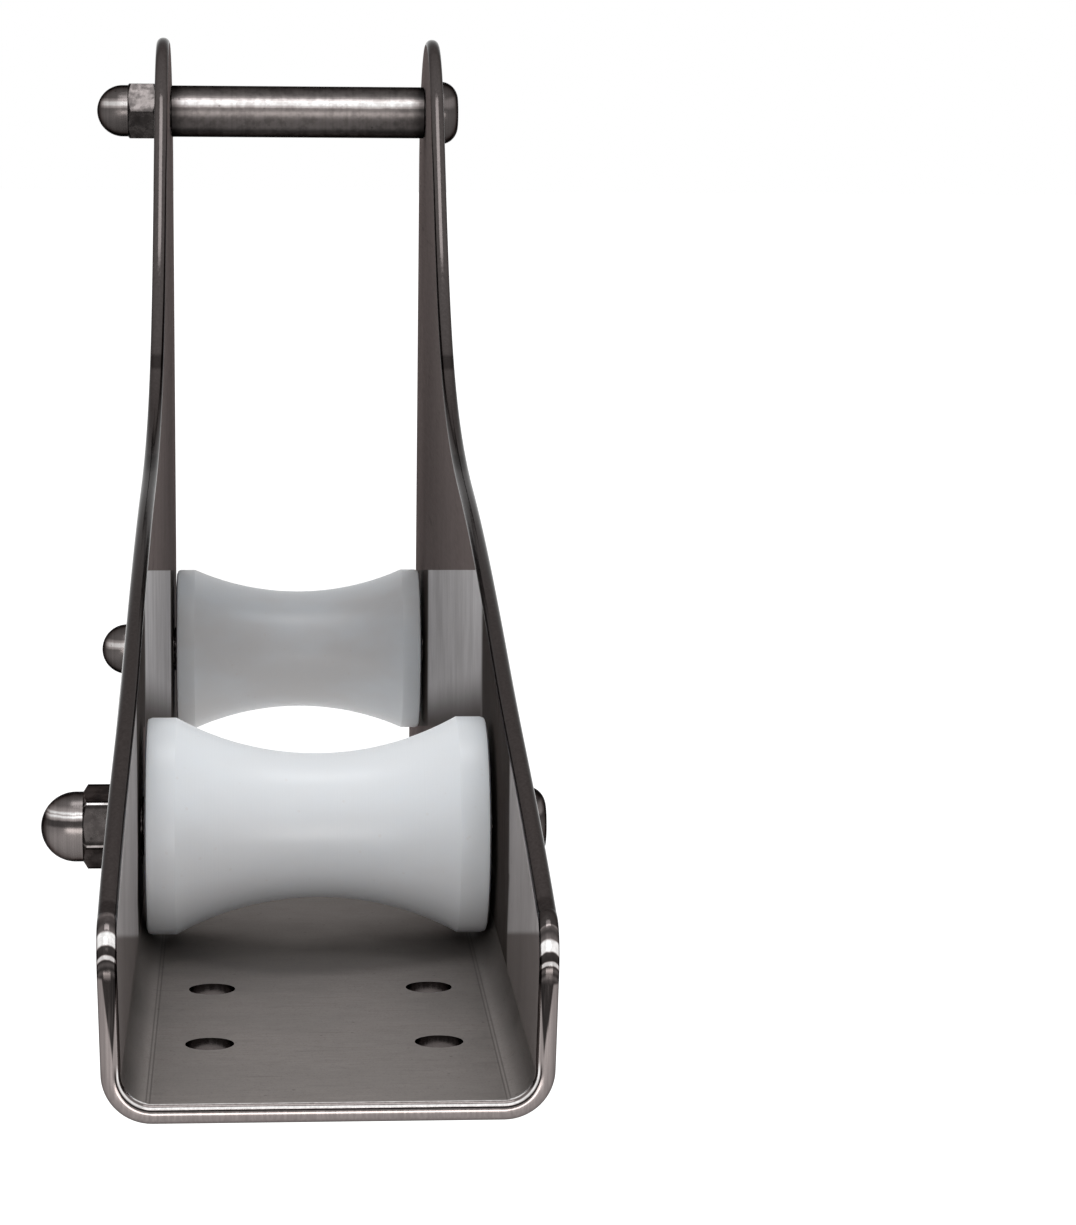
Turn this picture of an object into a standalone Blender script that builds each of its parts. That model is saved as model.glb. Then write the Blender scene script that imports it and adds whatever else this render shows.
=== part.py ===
"""Twin roller bow roller in bent stainless plate. Metres, +Z up.

The origin is the centre of the four deck holes, on the underside of the floor. +Y points forward over
the bow and +X to starboard.
"""

import math

import bmesh
import bpy

# Plate and channel
PLATE = 0.0040
INNER_WIDTH = 0.0800
BEND_RADIUS = 0.0060
EDGE_ROUND = 0.0016
FLOOR_LENGTH = 0.2000
AFT_TOP_CORNER = 0.0115
RELIEF_RADIUS = 0.0080
RELIEF_RISE = 0.0020

# Deck holes: a rectangle of four, measured between centres
HOLE_DIAMETER = 0.0100
HOLE_SPACING_ACROSS = 0.0470
HOLE_SPACING_ALONG = 0.0470
HOLE_SETBACK = 0.0470

# Side view of a cheek, lengths from the aft end and heights above the underside
AFT_HEIGHT = 0.0400
SADDLE_LENGTH = 0.2900
SADDLE_HEIGHT = 0.0925
AFT_SLOPE = 0.225
SADDLE_SLOPE = 0.100
SWEEP_REACH = 0.1200
HORN_REACH = 0.0650
HORN_LENGTH = 0.4960
HORN_HEIGHT = 0.1640
HORN_RADIUS = 0.0465
HORN_BACK_ANGLE = math.radians(142.6)
HORN_FRONT_ANGLE = math.radians(12.0)
NOSE_LENGTH = 0.5780
NOSE_DEPTH = 0.0330
THROAT_BEHIND_NOSE = 0.0220
THROAT_HEIGHT = 0.0400
THROAT_REACH = 0.0280
NOSE_RADIUS = 0.0290
NOSE_TOP_ANGLE = math.radians(50.0)
BELLY_REACH = 0.1500
KEEL_REACH = 0.1200
KEEL_START = 0.0350

# Axles: the aft one from the aft end, the fore one from the nose's middle, the bail from the horn's
AFT_AXLE_LENGTH = 0.1445
AFT_AXLE_HEIGHT = 0.0300
FORE_AXLE_BEHIND_NOSE = 0.0740
FORE_AXLE_ABOVE_NOSE = 0.0490
BAIL_AHEAD_OF_HORN = 0.0016
BAIL_ABOVE_HORN = 0.0237

# Rollers
AFT_FLANGE_DIAMETER = 0.0495
AFT_WAIST_DIAMETER = 0.0330
AFT_LAND = 0.0068
FORE_FLANGE_DIAMETER = 0.0510
FORE_WAIST_DIAMETER = 0.0370
FORE_LAND = 0.0058
ROLLER_CHAMFER = 0.0013
ROLLER_END_PLAY = 0.00125

# Sleeves, bolts, nuts and washers
SLEEVE_DIAMETER = 0.0140
BAIL_TUBE_DIAMETER = 0.0160
BOLT_DIAMETER = 0.0100
HEAD_DIAMETER = 0.0175
HEAD_HEIGHT = 0.0060
HEAD_RIM = 0.0012
SOCKET_ACROSS_FLATS = 0.0060
SOCKET_DEPTH = 0.0032
SOCKET_LAND = 0.7
NUT_ACROSS_FLATS = 0.0170
NUT_HEX_HEIGHT = 0.0088
NUT_HEIGHT = 0.0185
NUT_CHAMFER = 0.0010
AFT_NUT_TURN = math.radians(17)
FORE_NUT_TURN = math.radians(12)
BAIL_NUT_TURN = 0.0
DOME_DIAMETER = 0.0160
NUT_BORE_DEPTH = 0.0130
WASHER_DIAMETER = 0.0200
WASHER_THICKNESS = 0.0020
WASHER_EDGE = 0.0003

# Clearances
SEAT_GAP = 0.0003
BORE_GAP = 0.0003
BOLT_END_GAP = 0.0010

# Fineness of round shapes
ROUND_STEPS = 24
ROLLER_STEPS = 48
ARC_STEPS = 12
CURVE_STEPS = 10
EDGE_STEPS = 3
EDGE_ANGLE = math.radians(40)
SMOOTH_ANGLE = math.radians(30)
CUT_MARGIN = 0.0100

# Derived sizes
OUTER_WIDTH = INNER_WIDTH + 2 * PLATE
OUTER_BEND = BEND_RADIUS + PLATE
HALF_INNER = INNER_WIDTH / 2
HALF_OUTER = OUTER_WIDTH / 2
AFT_END = -(HOLE_SETBACK + HOLE_SPACING_ALONG / 2)
BORE_RADIUS = BOLT_DIAMETER / 2 + BORE_GAP
SLEEVE_LENGTH = INNER_WIDTH - 2 * SEAT_GAP
ROLLER_LENGTH = INNER_WIDTH - 2 * ROLLER_END_PLAY
WASHER_FACE = HALF_OUTER + SEAT_GAP + WASHER_THICKNESS
FULL_TURN = 2 * math.pi


def station(length):
    """Return the Y of a length measured forward from the aft end."""
    return AFT_END + length


AFT_AXLE = (0.0, station(AFT_AXLE_LENGTH), AFT_AXLE_HEIGHT)
FORE_AXLE = (0.0, station(NOSE_LENGTH - FORE_AXLE_BEHIND_NOSE), FORE_AXLE_ABOVE_NOSE - NOSE_DEPTH)
BAIL_AXIS = (0.0, station(HORN_LENGTH + BAIL_AHEAD_OF_HORN), HORN_HEIGHT + BAIL_ABOVE_HORN)


def clear_scene():
    """Remove every object that the file opens with."""
    for item in list(bpy.data.objects):
        bpy.data.objects.remove(item, do_unlink=True)


def new_collection(name):
    """Add a collection under the scene's own."""
    collection = bpy.data.collections.new(name)
    bpy.context.scene.collection.children.link(collection)
    return collection


def new_material(name, colour, roughness, metallic):
    """Make a Principled material with a plain colour."""
    material = bpy.data.materials.new(name)
    material.use_nodes = True
    shader = material.node_tree.nodes["Principled BSDF"]
    shader.inputs["Base Color"].default_value = (*colour, 1.0)
    shader.inputs["Roughness"].default_value = roughness
    shader.inputs["Metallic"].default_value = metallic
    return material


def add_object(name, mesh, collection, location=(0, 0, 0), rotation=(0, 0, 0)):
    """Wrap a mesh in an object of the same name."""
    item = bpy.data.objects.new(name, mesh)
    item.location = location
    item.rotation_euler = rotation
    collection.objects.link(item)
    return item


def make_cutter(item):
    """Show a cutter as a wire cage and keep it out of renders."""
    item.hide_render = True
    item.display_type = "WIRE"
    return item


def add_boolean(item, operation, other):
    """Cut, join or intersect an object with another by an exact Boolean."""
    modifier = item.modifiers.new(operation.title(), "BOOLEAN")
    modifier.operation = operation
    modifier.solver = "EXACT"
    modifier.object = other
    return modifier


def finished_mesh(item, name):
    """Return the object's mesh with all its modifiers carried out."""
    bpy.context.view_layer.update()
    evaluated = item.evaluated_get(bpy.context.evaluated_depsgraph_get())
    mesh = bpy.data.meshes.new_from_object(evaluated)
    mesh.name = name
    return mesh


def carry_out_modifiers(item):
    """Give the object its finished mesh in place of its modifiers, shaded for round surfaces."""
    if item.modifiers:
        mesh = finished_mesh(item, item.name)
        item.modifiers.clear()
        item.data = mesh
        shade_round(mesh)


def shade_round(mesh, angle=SMOOTH_ANGLE):
    """Shade smooth, with creases where faces meet at more than the angle."""
    mesh.shade_smooth()
    mesh.set_sharp_from_angle(angle=angle)


def cylinder(name, radius, length, collection, location, rotation=(0, math.pi / 2, 0), segments=ROUND_STEPS):
    """Add a closed cylinder or prism along X, or along Z with no rotation."""
    shape = bmesh.new()
    bmesh.ops.create_cone(
        shape, cap_ends=True, segments=segments, radius1=radius, radius2=radius, depth=length
    )
    mesh = bpy.data.meshes.new(name)
    shape.to_mesh(mesh)
    shape.free()
    return add_object(name, mesh, collection, location, rotation)


def box(name, low, high, collection):
    """Add an axis aligned box between two corners."""
    shape = bmesh.new()
    bmesh.ops.create_cube(shape, size=1.0)
    bmesh.ops.scale(shape, vec=[high[i] - low[i] for i in range(3)], verts=shape.verts)
    mesh = bpy.data.meshes.new(name)
    shape.to_mesh(mesh)
    shape.free()
    middle = [(high[i] + low[i]) / 2 for i in range(3)]
    return add_object(name, mesh, collection, middle)


def turned(name, profile, closed, collection, location, rotation, steps=ROUND_STEPS):
    """Turn a profile of (radius, height) points about local Z with a Screw modifier."""
    mesh = bpy.data.meshes.new(name)
    points = [(radius, 0.0, height) for radius, height in profile]
    edges = [(i, i + 1) for i in range(len(points) - 1)]
    if closed:
        edges.append((len(points) - 1, 0))
    mesh.from_pydata(points, edges, [])
    item = add_object(name, mesh, collection, location, rotation)
    screw = item.modifiers.new("Turn", "SCREW")
    screw.axis = "Z"
    screw.angle = FULL_TURN
    screw.steps = steps
    screw.render_steps = steps
    screw.use_merge_vertices = True
    screw.merge_threshold = 0.00001
    return item


def outline_prism(name, points, half_depth, collection, location=(0, 0, 0), rotation=(0, 0, 0)):
    """Extrude a flat closed outline both ways from its own plane and return it as a closed mesh."""
    curve = bpy.data.curves.new(name, "CURVE")
    curve.dimensions = "2D"
    curve.fill_mode = "BOTH"
    curve.extrude = half_depth
    spline = curve.splines.new("POLY")
    spline.points.add(len(points) - 1)
    for knot, (across, up) in zip(spline.points, points):
        knot.co = (across, up, 0.0, 1.0)
    spline.use_cyclic_u = True
    guide = add_object(name + "_guide", curve, collection, location, rotation)
    mesh = finished_mesh(guide, name)
    bpy.data.objects.remove(guide, do_unlink=True)
    shape = bmesh.new()
    shape.from_mesh(mesh)
    bmesh.ops.remove_doubles(shape, verts=shape.verts, dist=0.00001)
    bmesh.ops.recalc_face_normals(shape, faces=shape.faces)
    shape.to_mesh(mesh)
    shape.free()
    return add_object(name, mesh, collection, location, rotation)


def arc(centre, radius, start, end, steps):
    """Return points on an arc, both ends included."""
    points = []
    for step in range(steps + 1):
        angle = start + (end - start) * step / steps
        points.append((centre[0] + radius * math.cos(angle), centre[1] + radius * math.sin(angle)))
    return points


def bezier(start, start_handle, end_handle, end, steps):
    """Return points inside a cubic curve, without its two ends."""
    points = []
    for step in range(1, steps):
        t = step / steps
        weights = ((1 - t) ** 3, 3 * t * (1 - t) ** 2, 3 * t ** 2 * (1 - t), t ** 3)
        corners = (start, start_handle, end_handle, end)
        points.append(tuple(sum(w * c[k] for w, c in zip(weights, corners)) for k in (0, 1)))
    return points


def cheek_outline():
    """Return the side view of the plate as (Y, Z) points, counter-clockwise from the aft lower corner."""
    keel_start = (station(FLOOR_LENGTH + RELIEF_RADIUS + KEEL_START), 0.0)
    nose = (station(NOSE_LENGTH), -NOSE_DEPTH)
    nose_bottom = (nose[0], nose[1] - NOSE_RADIUS)
    points = [(AFT_END, 0.0), keel_start]
    points += bezier(
        keel_start,
        (keel_start[0] + KEEL_REACH, 0.0),
        (nose_bottom[0] - BELLY_REACH, nose_bottom[1]),
        nose_bottom,
        CURVE_STEPS,
    )
    points += arc(nose, NOSE_RADIUS, -math.pi / 2, NOSE_TOP_ANGLE, ARC_STEPS)

    nose_top = points[-1]
    throat = (station(NOSE_LENGTH - THROAT_BEHIND_NOSE), THROAT_HEIGHT)
    back_of_nose = (-math.sin(NOSE_TOP_ANGLE), math.cos(NOSE_TOP_ANGLE))
    points += bezier(
        nose_top,
        (nose_top[0] + THROAT_REACH * back_of_nose[0], nose_top[1] + THROAT_REACH * back_of_nose[1]),
        (throat[0], throat[1] - THROAT_REACH),
        throat,
        CURVE_STEPS,
    )
    points.append(throat)

    horn = (station(HORN_LENGTH), HORN_HEIGHT)
    horn_arc = arc(horn, HORN_RADIUS, HORN_FRONT_ANGLE, HORN_BACK_ANGLE, ARC_STEPS)
    points += horn_arc

    horn_back = horn_arc[-1]
    down_back = (-math.sin(HORN_BACK_ANGLE), math.cos(HORN_BACK_ANGLE))
    saddle = (station(SADDLE_LENGTH), SADDLE_HEIGHT)
    points += bezier(
        horn_back,
        (horn_back[0] + HORN_REACH * down_back[0], horn_back[1] + HORN_REACH * down_back[1]),
        (saddle[0] + SWEEP_REACH, saddle[1] + SWEEP_REACH * SADDLE_SLOPE),
        saddle,
        CURVE_STEPS,
    )
    points.append(saddle)

    shoulder_reach = (SADDLE_LENGTH - AFT_TOP_CORNER) / 3
    shoulder = (AFT_END + AFT_TOP_CORNER, AFT_HEIGHT)
    points += bezier(
        saddle,
        (saddle[0] - shoulder_reach, saddle[1] - shoulder_reach * SADDLE_SLOPE),
        (shoulder[0] + shoulder_reach, shoulder[1] + shoulder_reach * AFT_SLOPE),
        shoulder,
        CURVE_STEPS,
    )
    corner = (AFT_END + AFT_TOP_CORNER, AFT_HEIGHT - AFT_TOP_CORNER)
    points += arc(corner, AFT_TOP_CORNER, math.pi / 2, math.pi, CURVE_STEPS // 2)
    return points


def channel_cutter(collection):
    """Return the cutter for the inside of the channel: flat walls, flat floor and two round bends."""
    top = HORN_HEIGHT + HORN_RADIUS + CUT_MARGIN
    bend = HALF_INNER - BEND_RADIUS
    bend_height = PLATE + BEND_RADIUS
    points = [(-HALF_INNER, top)]
    points += arc((-bend, bend_height), BEND_RADIUS, math.pi, 1.5 * math.pi, CURVE_STEPS // 2)
    points += arc((bend, bend_height), BEND_RADIUS, 1.5 * math.pi, FULL_TURN, CURVE_STEPS // 2)
    points.append((HALF_INNER, top))
    length = NOSE_LENGTH + NOSE_RADIUS + 2 * CUT_MARGIN
    middle = AFT_END - CUT_MARGIN + length / 2
    return make_cutter(
        outline_prism("cut_channel", points, length / 2, collection, (0, middle, 0), (math.pi / 2, 0, 0))
    )


def bend_cutter(side, collection):
    """Return the cutter that rounds the outside of one bend, along the floor only."""
    rim = side * (HALF_OUTER + CUT_MARGIN)
    centre = (side * (HALF_OUTER - OUTER_BEND), OUTER_BEND)
    side_angle = 0.0 if side > 0 else math.pi
    down_angle = -math.pi / 2 if side > 0 else 1.5 * math.pi
    points = [(rim, -CUT_MARGIN), (centre[0], -CUT_MARGIN)]
    points += arc(centre, OUTER_BEND, down_angle, side_angle, CURVE_STEPS // 2)
    points.append((rim, OUTER_BEND))
    length = FLOOR_LENGTH + CUT_MARGIN
    middle = AFT_END - CUT_MARGIN + length / 2
    name = "cut_bend_starboard" if side > 0 else "cut_bend_port"
    return make_cutter(
        outline_prism(name, points, length / 2, collection, (0, middle, 0), (math.pi / 2, 0, 0))
    )


def build_frame(parts, cutters, steel):
    """Build the one bent plate: floor, two cheeks with their horns, bores and deck holes."""
    upright = (math.pi / 2, 0, math.pi / 2)
    frame = outline_prism("channel_frame", cheek_outline(), HALF_OUTER, parts, (0, 0, 0), upright)
    frame.data.materials.append(steel)
    add_boolean(frame, "DIFFERENCE", channel_cutter(cutters))

    floor_end = station(FLOOR_LENGTH)
    far_end = station(NOSE_LENGTH + NOSE_RADIUS) + CUT_MARGIN
    lowest = -(NOSE_DEPTH + NOSE_RADIUS + CUT_MARGIN)
    opening = box(
        "cut_fore_opening",
        (-HALF_INNER, floor_end, lowest),
        (HALF_INNER, far_end, OUTER_BEND + CUT_MARGIN),
        cutters,
    )
    add_boolean(frame, "DIFFERENCE", make_cutter(opening))
    for side in (-1, 1):
        add_boolean(frame, "DIFFERENCE", bend_cutter(side, cutters))
    relief = cylinder(
        "cut_bend_relief",
        RELIEF_RADIUS,
        OUTER_WIDTH + 2 * CUT_MARGIN,
        cutters,
        (0, floor_end + RELIEF_RADIUS / 2, OUTER_BEND + RELIEF_RISE - RELIEF_RADIUS),
    )
    add_boolean(frame, "DIFFERENCE", make_cutter(relief))

    bevel = frame.modifiers.new("Polished edges", "BEVEL")
    bevel.width = EDGE_ROUND
    bevel.segments = EDGE_STEPS
    bevel.limit_method = "ANGLE"
    bevel.angle_limit = EDGE_ANGLE
    bevel.harden_normals = False

    for name, place in (("aft_axle", AFT_AXLE), ("fore_axle", FORE_AXLE), ("bail", BAIL_AXIS)):
        bore = cylinder("cut_bore_" + name, BORE_RADIUS, OUTER_WIDTH + 2 * CUT_MARGIN, cutters, place)
        add_boolean(frame, "DIFFERENCE", make_cutter(bore))
    for across, side_name in ((-1, "port"), (1, "starboard")):
        for along, end_name in ((-1, "aft"), (1, "fore")):
            place = (across * HOLE_SPACING_ACROSS / 2, along * HOLE_SPACING_ALONG / 2, PLATE / 2)
            name = "cut_hole_" + end_name + "_" + side_name
            hole = cylinder(name, HOLE_DIAMETER / 2, PLATE + CUT_MARGIN, cutters, place, (0, 0, 0))
            add_boolean(frame, "DIFFERENCE", make_cutter(hole))
    return frame


def build_roller(name, flange, waist, land, place, collection, nylon):
    """Build one hourglass roller, turned about X, with a bore that runs on its sleeve."""
    half = ROLLER_LENGTH / 2
    rim = flange / 2
    bore = SLEEVE_DIAMETER / 2 + BORE_GAP
    half_chord = half - land
    sag = (flange - waist) / 2
    hollow_radius = (half_chord ** 2 + sag ** 2) / (2 * sag)
    half_angle = math.asin(half_chord / hollow_radius)
    profile = [(rim - ROLLER_CHAMFER, half), (rim, half - ROLLER_CHAMFER)]
    for step in range(ARC_STEPS + 1):
        angle = half_angle - 2 * half_angle * step / ARC_STEPS
        radius = waist / 2 + hollow_radius * (1 - math.cos(angle))
        profile.append((radius, hollow_radius * math.sin(angle)))
    profile += [(rim, -half + ROLLER_CHAMFER), (rim - ROLLER_CHAMFER, -half), (bore, -half), (bore, half)]
    roller = turned(name, profile, True, collection, place, (0, math.pi / 2, 0), ROLLER_STEPS)
    roller.data.materials.append(nylon)
    return roller


def build_tube(name, diameter, place, collection, material):
    """Build a sleeve that is clamped between the cheeks on its bolt."""
    half = SLEEVE_LENGTH / 2
    outer = diameter / 2
    profile = [(outer, half), (outer, -half), (BORE_RADIUS, -half), (BORE_RADIUS, half)]
    tube = turned(name, profile, True, collection, place, (0, math.pi / 2, 0))
    tube.data.materials.append(material)
    return tube


def build_bolt(name, seat, place, parts, cutters, steel):
    """Build a button head bolt along X, its head to starboard and its end inside the domed nut.

    seat is the distance from the middle of the channel to the face that the head presses on.
    """
    under_head = seat + SEAT_GAP
    end = -(HALF_OUTER + SEAT_GAP + NUT_BORE_DEPTH - BOLT_END_GAP)
    shank = BOLT_DIAMETER / 2
    rim = HEAD_DIAMETER / 2
    rise = HEAD_HEIGHT - HEAD_RIM
    socket_rim = SOCKET_ACROSS_FLATS * SOCKET_LAND
    profile = [(0.0, under_head + HEAD_HEIGHT), (socket_rim, under_head + HEAD_HEIGHT)]
    crown = ARC_STEPS // 2
    for step in range(1, crown + 1):
        angle = math.pi / 2 * step / crown
        radius = socket_rim + (rim - socket_rim) * math.sin(angle)
        profile.append((radius, under_head + HEAD_RIM + rise * math.cos(angle)))
    profile += [(rim, under_head), (shank, under_head), (shank, end), (0.0, end)]
    bolt = turned(name, profile, False, parts, place, (0, math.pi / 2, 0))
    bolt.data.materials.append(steel)
    socket_place = (place[0] + under_head + HEAD_HEIGHT, place[1], place[2])
    corner = SOCKET_ACROSS_FLATS / math.sqrt(3)
    socket = cylinder("cut_socket_" + name, corner, 2 * SOCKET_DEPTH, cutters, socket_place, segments=6)
    add_boolean(bolt, "DIFFERENCE", make_cutter(socket))
    return bolt


def acorn_nut_mesh(cutters, steel):
    """Return the mesh of a domed nut that stands on local Z = 0 and points up."""
    corner = NUT_ACROSS_FLATS / math.sqrt(3)
    flat = NUT_ACROSS_FLATS / 2
    dome = DOME_DIAMETER / 2
    blank = cylinder("nut_blank", corner, NUT_HEX_HEIGHT, cutters, (0, 0, NUT_HEX_HEIGHT / 2), (0, 0, 0), 6)
    blank.data.materials.append(steel)
    chamfer = [
        (0.0, NUT_HEX_HEIGHT + CUT_MARGIN),
        (flat, NUT_HEX_HEIGHT + CUT_MARGIN),
        (flat, NUT_HEX_HEIGHT + SEAT_GAP),
        (corner + CUT_MARGIN / 2, NUT_HEX_HEIGHT - NUT_CHAMFER - CUT_MARGIN / 4),
        (corner + CUT_MARGIN / 2, NUT_CHAMFER + CUT_MARGIN / 4),
        (flat, -SEAT_GAP),
        (flat, -CUT_MARGIN),
        (0.0, -CUT_MARGIN),
    ]
    shell = make_cutter(turned("nut_chamfer", chamfer, False, cutters, (0, 0, 0), (0, 0, 0)))
    add_boolean(blank, "INTERSECT", shell)
    crown_base = NUT_HEIGHT - dome
    profile = [(dome * math.sin(a), crown_base + dome * math.cos(a)) for a in quarter_turn(ARC_STEPS // 2)]
    profile[0] = (0.0, NUT_HEIGHT)
    profile += [(dome, NUT_HEX_HEIGHT / 2), (0.0, NUT_HEX_HEIGHT / 2)]
    crown = make_cutter(turned("nut_crown", profile, False, cutters, (0, 0, 0), (0, 0, 0)))
    add_boolean(blank, "UNION", crown)
    bore = cylinder("nut_bore", BORE_RADIUS, 2 * NUT_BORE_DEPTH, cutters, (0, 0, 0), (0, 0, 0))
    add_boolean(blank, "DIFFERENCE", make_cutter(bore))
    mesh = finished_mesh(blank, "acorn_nut")
    mesh.transform(blank.matrix_world)
    bpy.data.objects.remove(blank, do_unlink=True)
    shade_round(mesh)
    return mesh


def quarter_turn(steps):
    """Return the angles of a quarter turn, both ends included."""
    return [math.pi / 2 * step / steps for step in range(steps + 1)]


def build_washer(name, place, collection, steel):
    """Build the flat washer between a bolt head and the starboard cheek."""
    rim = WASHER_DIAMETER / 2
    half = WASHER_THICKNESS / 2
    profile = [
        (rim - WASHER_EDGE, half),
        (rim, half - WASHER_EDGE),
        (rim, -half + WASHER_EDGE),
        (rim - WASHER_EDGE, -half),
        (BORE_RADIUS, -half),
        (BORE_RADIUS, half),
    ]
    centre = (WASHER_FACE - half, place[1], place[2])
    washer = turned(name, profile, True, collection, centre, (0, math.pi / 2, 0))
    washer.data.materials.append(steel)
    return washer


def build_axle(name, place, parts, cutters, steel, dark_steel, nut_mesh, nut_turn):
    """Build what carries one roller: sleeve, bolt, the washer under its head and the domed nut."""
    build_tube(name + "_axle_sleeve", SLEEVE_DIAMETER, place, parts, dark_steel)
    build_washer(name + "_head_washer", place, parts, steel)
    build_bolt(name + "_axle_bolt", WASHER_FACE, place, parts, cutters, steel)
    add_nut(name + "_acorn_nut", place, parts, nut_mesh, nut_turn)


def add_nut(name, place, parts, nut_mesh, turn):
    """Add a domed nut on the port cheek, turned about its own axis."""
    centre = (-(HALF_OUTER + SEAT_GAP), place[1], place[2])
    nut = add_object(name, nut_mesh, parts, centre)
    nut.rotation_mode = "XYZ"
    nut.rotation_euler = (0, -math.pi / 2, 0)
    nut.rotation_euler.rotate_axis("Z", turn)
    return nut


def main():
    """Build every piece in its collection."""
    clear_scene()
    parts = new_collection("bow_roller")
    cutters = new_collection("cutters")
    steel = new_material("polished_stainless", (0.50, 0.49, 0.48), 0.18, 1.0)
    satin = new_material("satin_stainless", (0.56, 0.55, 0.54), 0.32, 1.0)
    dark_steel = new_material("dark_sleeve_steel", (0.20, 0.19, 0.18), 0.35, 1.0)
    nylon = new_material("white_nylon", (0.78, 0.80, 0.82), 0.42, 0.0)

    build_frame(parts, cutters, steel)
    nut_mesh = acorn_nut_mesh(cutters, steel)
    build_roller(
        "aft_roller", AFT_FLANGE_DIAMETER, AFT_WAIST_DIAMETER, AFT_LAND, AFT_AXLE, parts, nylon
    )
    build_roller(
        "fore_roller", FORE_FLANGE_DIAMETER, FORE_WAIST_DIAMETER, FORE_LAND, FORE_AXLE, parts, nylon
    )
    build_axle("aft", AFT_AXLE, parts, cutters, steel, dark_steel, nut_mesh, AFT_NUT_TURN)
    build_axle("fore", FORE_AXLE, parts, cutters, steel, dark_steel, nut_mesh, FORE_NUT_TURN)
    build_tube("bail_tube", BAIL_TUBE_DIAMETER, BAIL_AXIS, parts, satin)
    build_bolt("bail_bolt", HALF_OUTER, BAIL_AXIS, parts, cutters, steel)
    add_nut("bail_acorn_nut", BAIL_AXIS, parts, nut_mesh, BAIL_NUT_TURN)
    for item in parts.objects:
        carry_out_modifiers(item)


main()
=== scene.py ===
"""Looks of a twin roller bow roller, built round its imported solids.

Metres, +Z up, +Y forward over the bow and +X to starboard.
"""

import logging
import math
from dataclasses import dataclass
from enum import Enum
from typing import Callable, Sequence

import bmesh
import bpy
from mathutils import Matrix, Vector


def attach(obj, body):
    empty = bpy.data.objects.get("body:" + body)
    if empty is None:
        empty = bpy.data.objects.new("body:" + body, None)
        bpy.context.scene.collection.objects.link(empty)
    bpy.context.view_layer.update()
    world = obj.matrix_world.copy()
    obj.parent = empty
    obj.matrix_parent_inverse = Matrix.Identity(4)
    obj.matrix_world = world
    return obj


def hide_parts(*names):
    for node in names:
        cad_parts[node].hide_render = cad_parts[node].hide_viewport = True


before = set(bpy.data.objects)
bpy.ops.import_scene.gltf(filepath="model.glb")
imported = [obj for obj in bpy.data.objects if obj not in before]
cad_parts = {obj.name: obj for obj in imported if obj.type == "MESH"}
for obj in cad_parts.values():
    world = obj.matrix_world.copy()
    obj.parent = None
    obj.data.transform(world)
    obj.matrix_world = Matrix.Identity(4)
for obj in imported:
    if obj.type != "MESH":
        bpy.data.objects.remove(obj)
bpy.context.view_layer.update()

Colour = tuple[float, float, float]
Point = tuple[float, float, float]
Flat = tuple[float, float]
Ring = Callable[[float], Flat]

LOG = logging.getLogger("bow_roller")
QUARTER = math.pi / 2
FULL_TURN = 2 * math.pi

AFT_END = -0.0705
HALF_INNER = 0.0400
PLATE = 0.0040
HALF_OUTER = HALF_INNER + PLATE
SEAT_GAP = 0.0003
BORE_RADIUS = 0.0053
AFT_AXLE = Vector((0.0, 0.0740, 0.0300))
FORE_AXLE = Vector((0.0, 0.4335, 0.0160))
BAIL_AXIS = Vector((0.0, 0.4271, 0.1877))

WHITE = (1.0, 1.0, 1.0)
BLACK = (0.0, 0.0, 0.0)
HIGHLIGHT = (1.0, 0.98, 0.97)
SIXTH_TURN = math.radians(60)
CREASE = math.radians(22)
SECTION_STEPS = 96


def rgba(colour: Colour) -> tuple[float, float, float, float]:
    """Return a colour with full alpha."""
    return (*colour, 1.0)


def shaded(colour: Colour, share: float) -> Colour:
    """Return a colour that is darker or brighter by a share, at most 1 in each part."""
    return tuple(min(1.0, part * share) for part in colour)


class Slot(Enum):
    """Material slots of the record."""

    POLISHED = "polished_stainless"
    SATIN = "satin_stainless"
    FASTENER = "fastener_stainless"
    SLEEVE = "dark_sleeve_steel"
    NYLON = "white_nylon"


class Zone(Enum):
    """Finishes of the plate, in the order of its material slots."""

    EDGE = 0
    FLOOR = 1
    CHEEK = 2
    OUTSIDE = 3
    HOLE = 4
    HORN = 5


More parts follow.
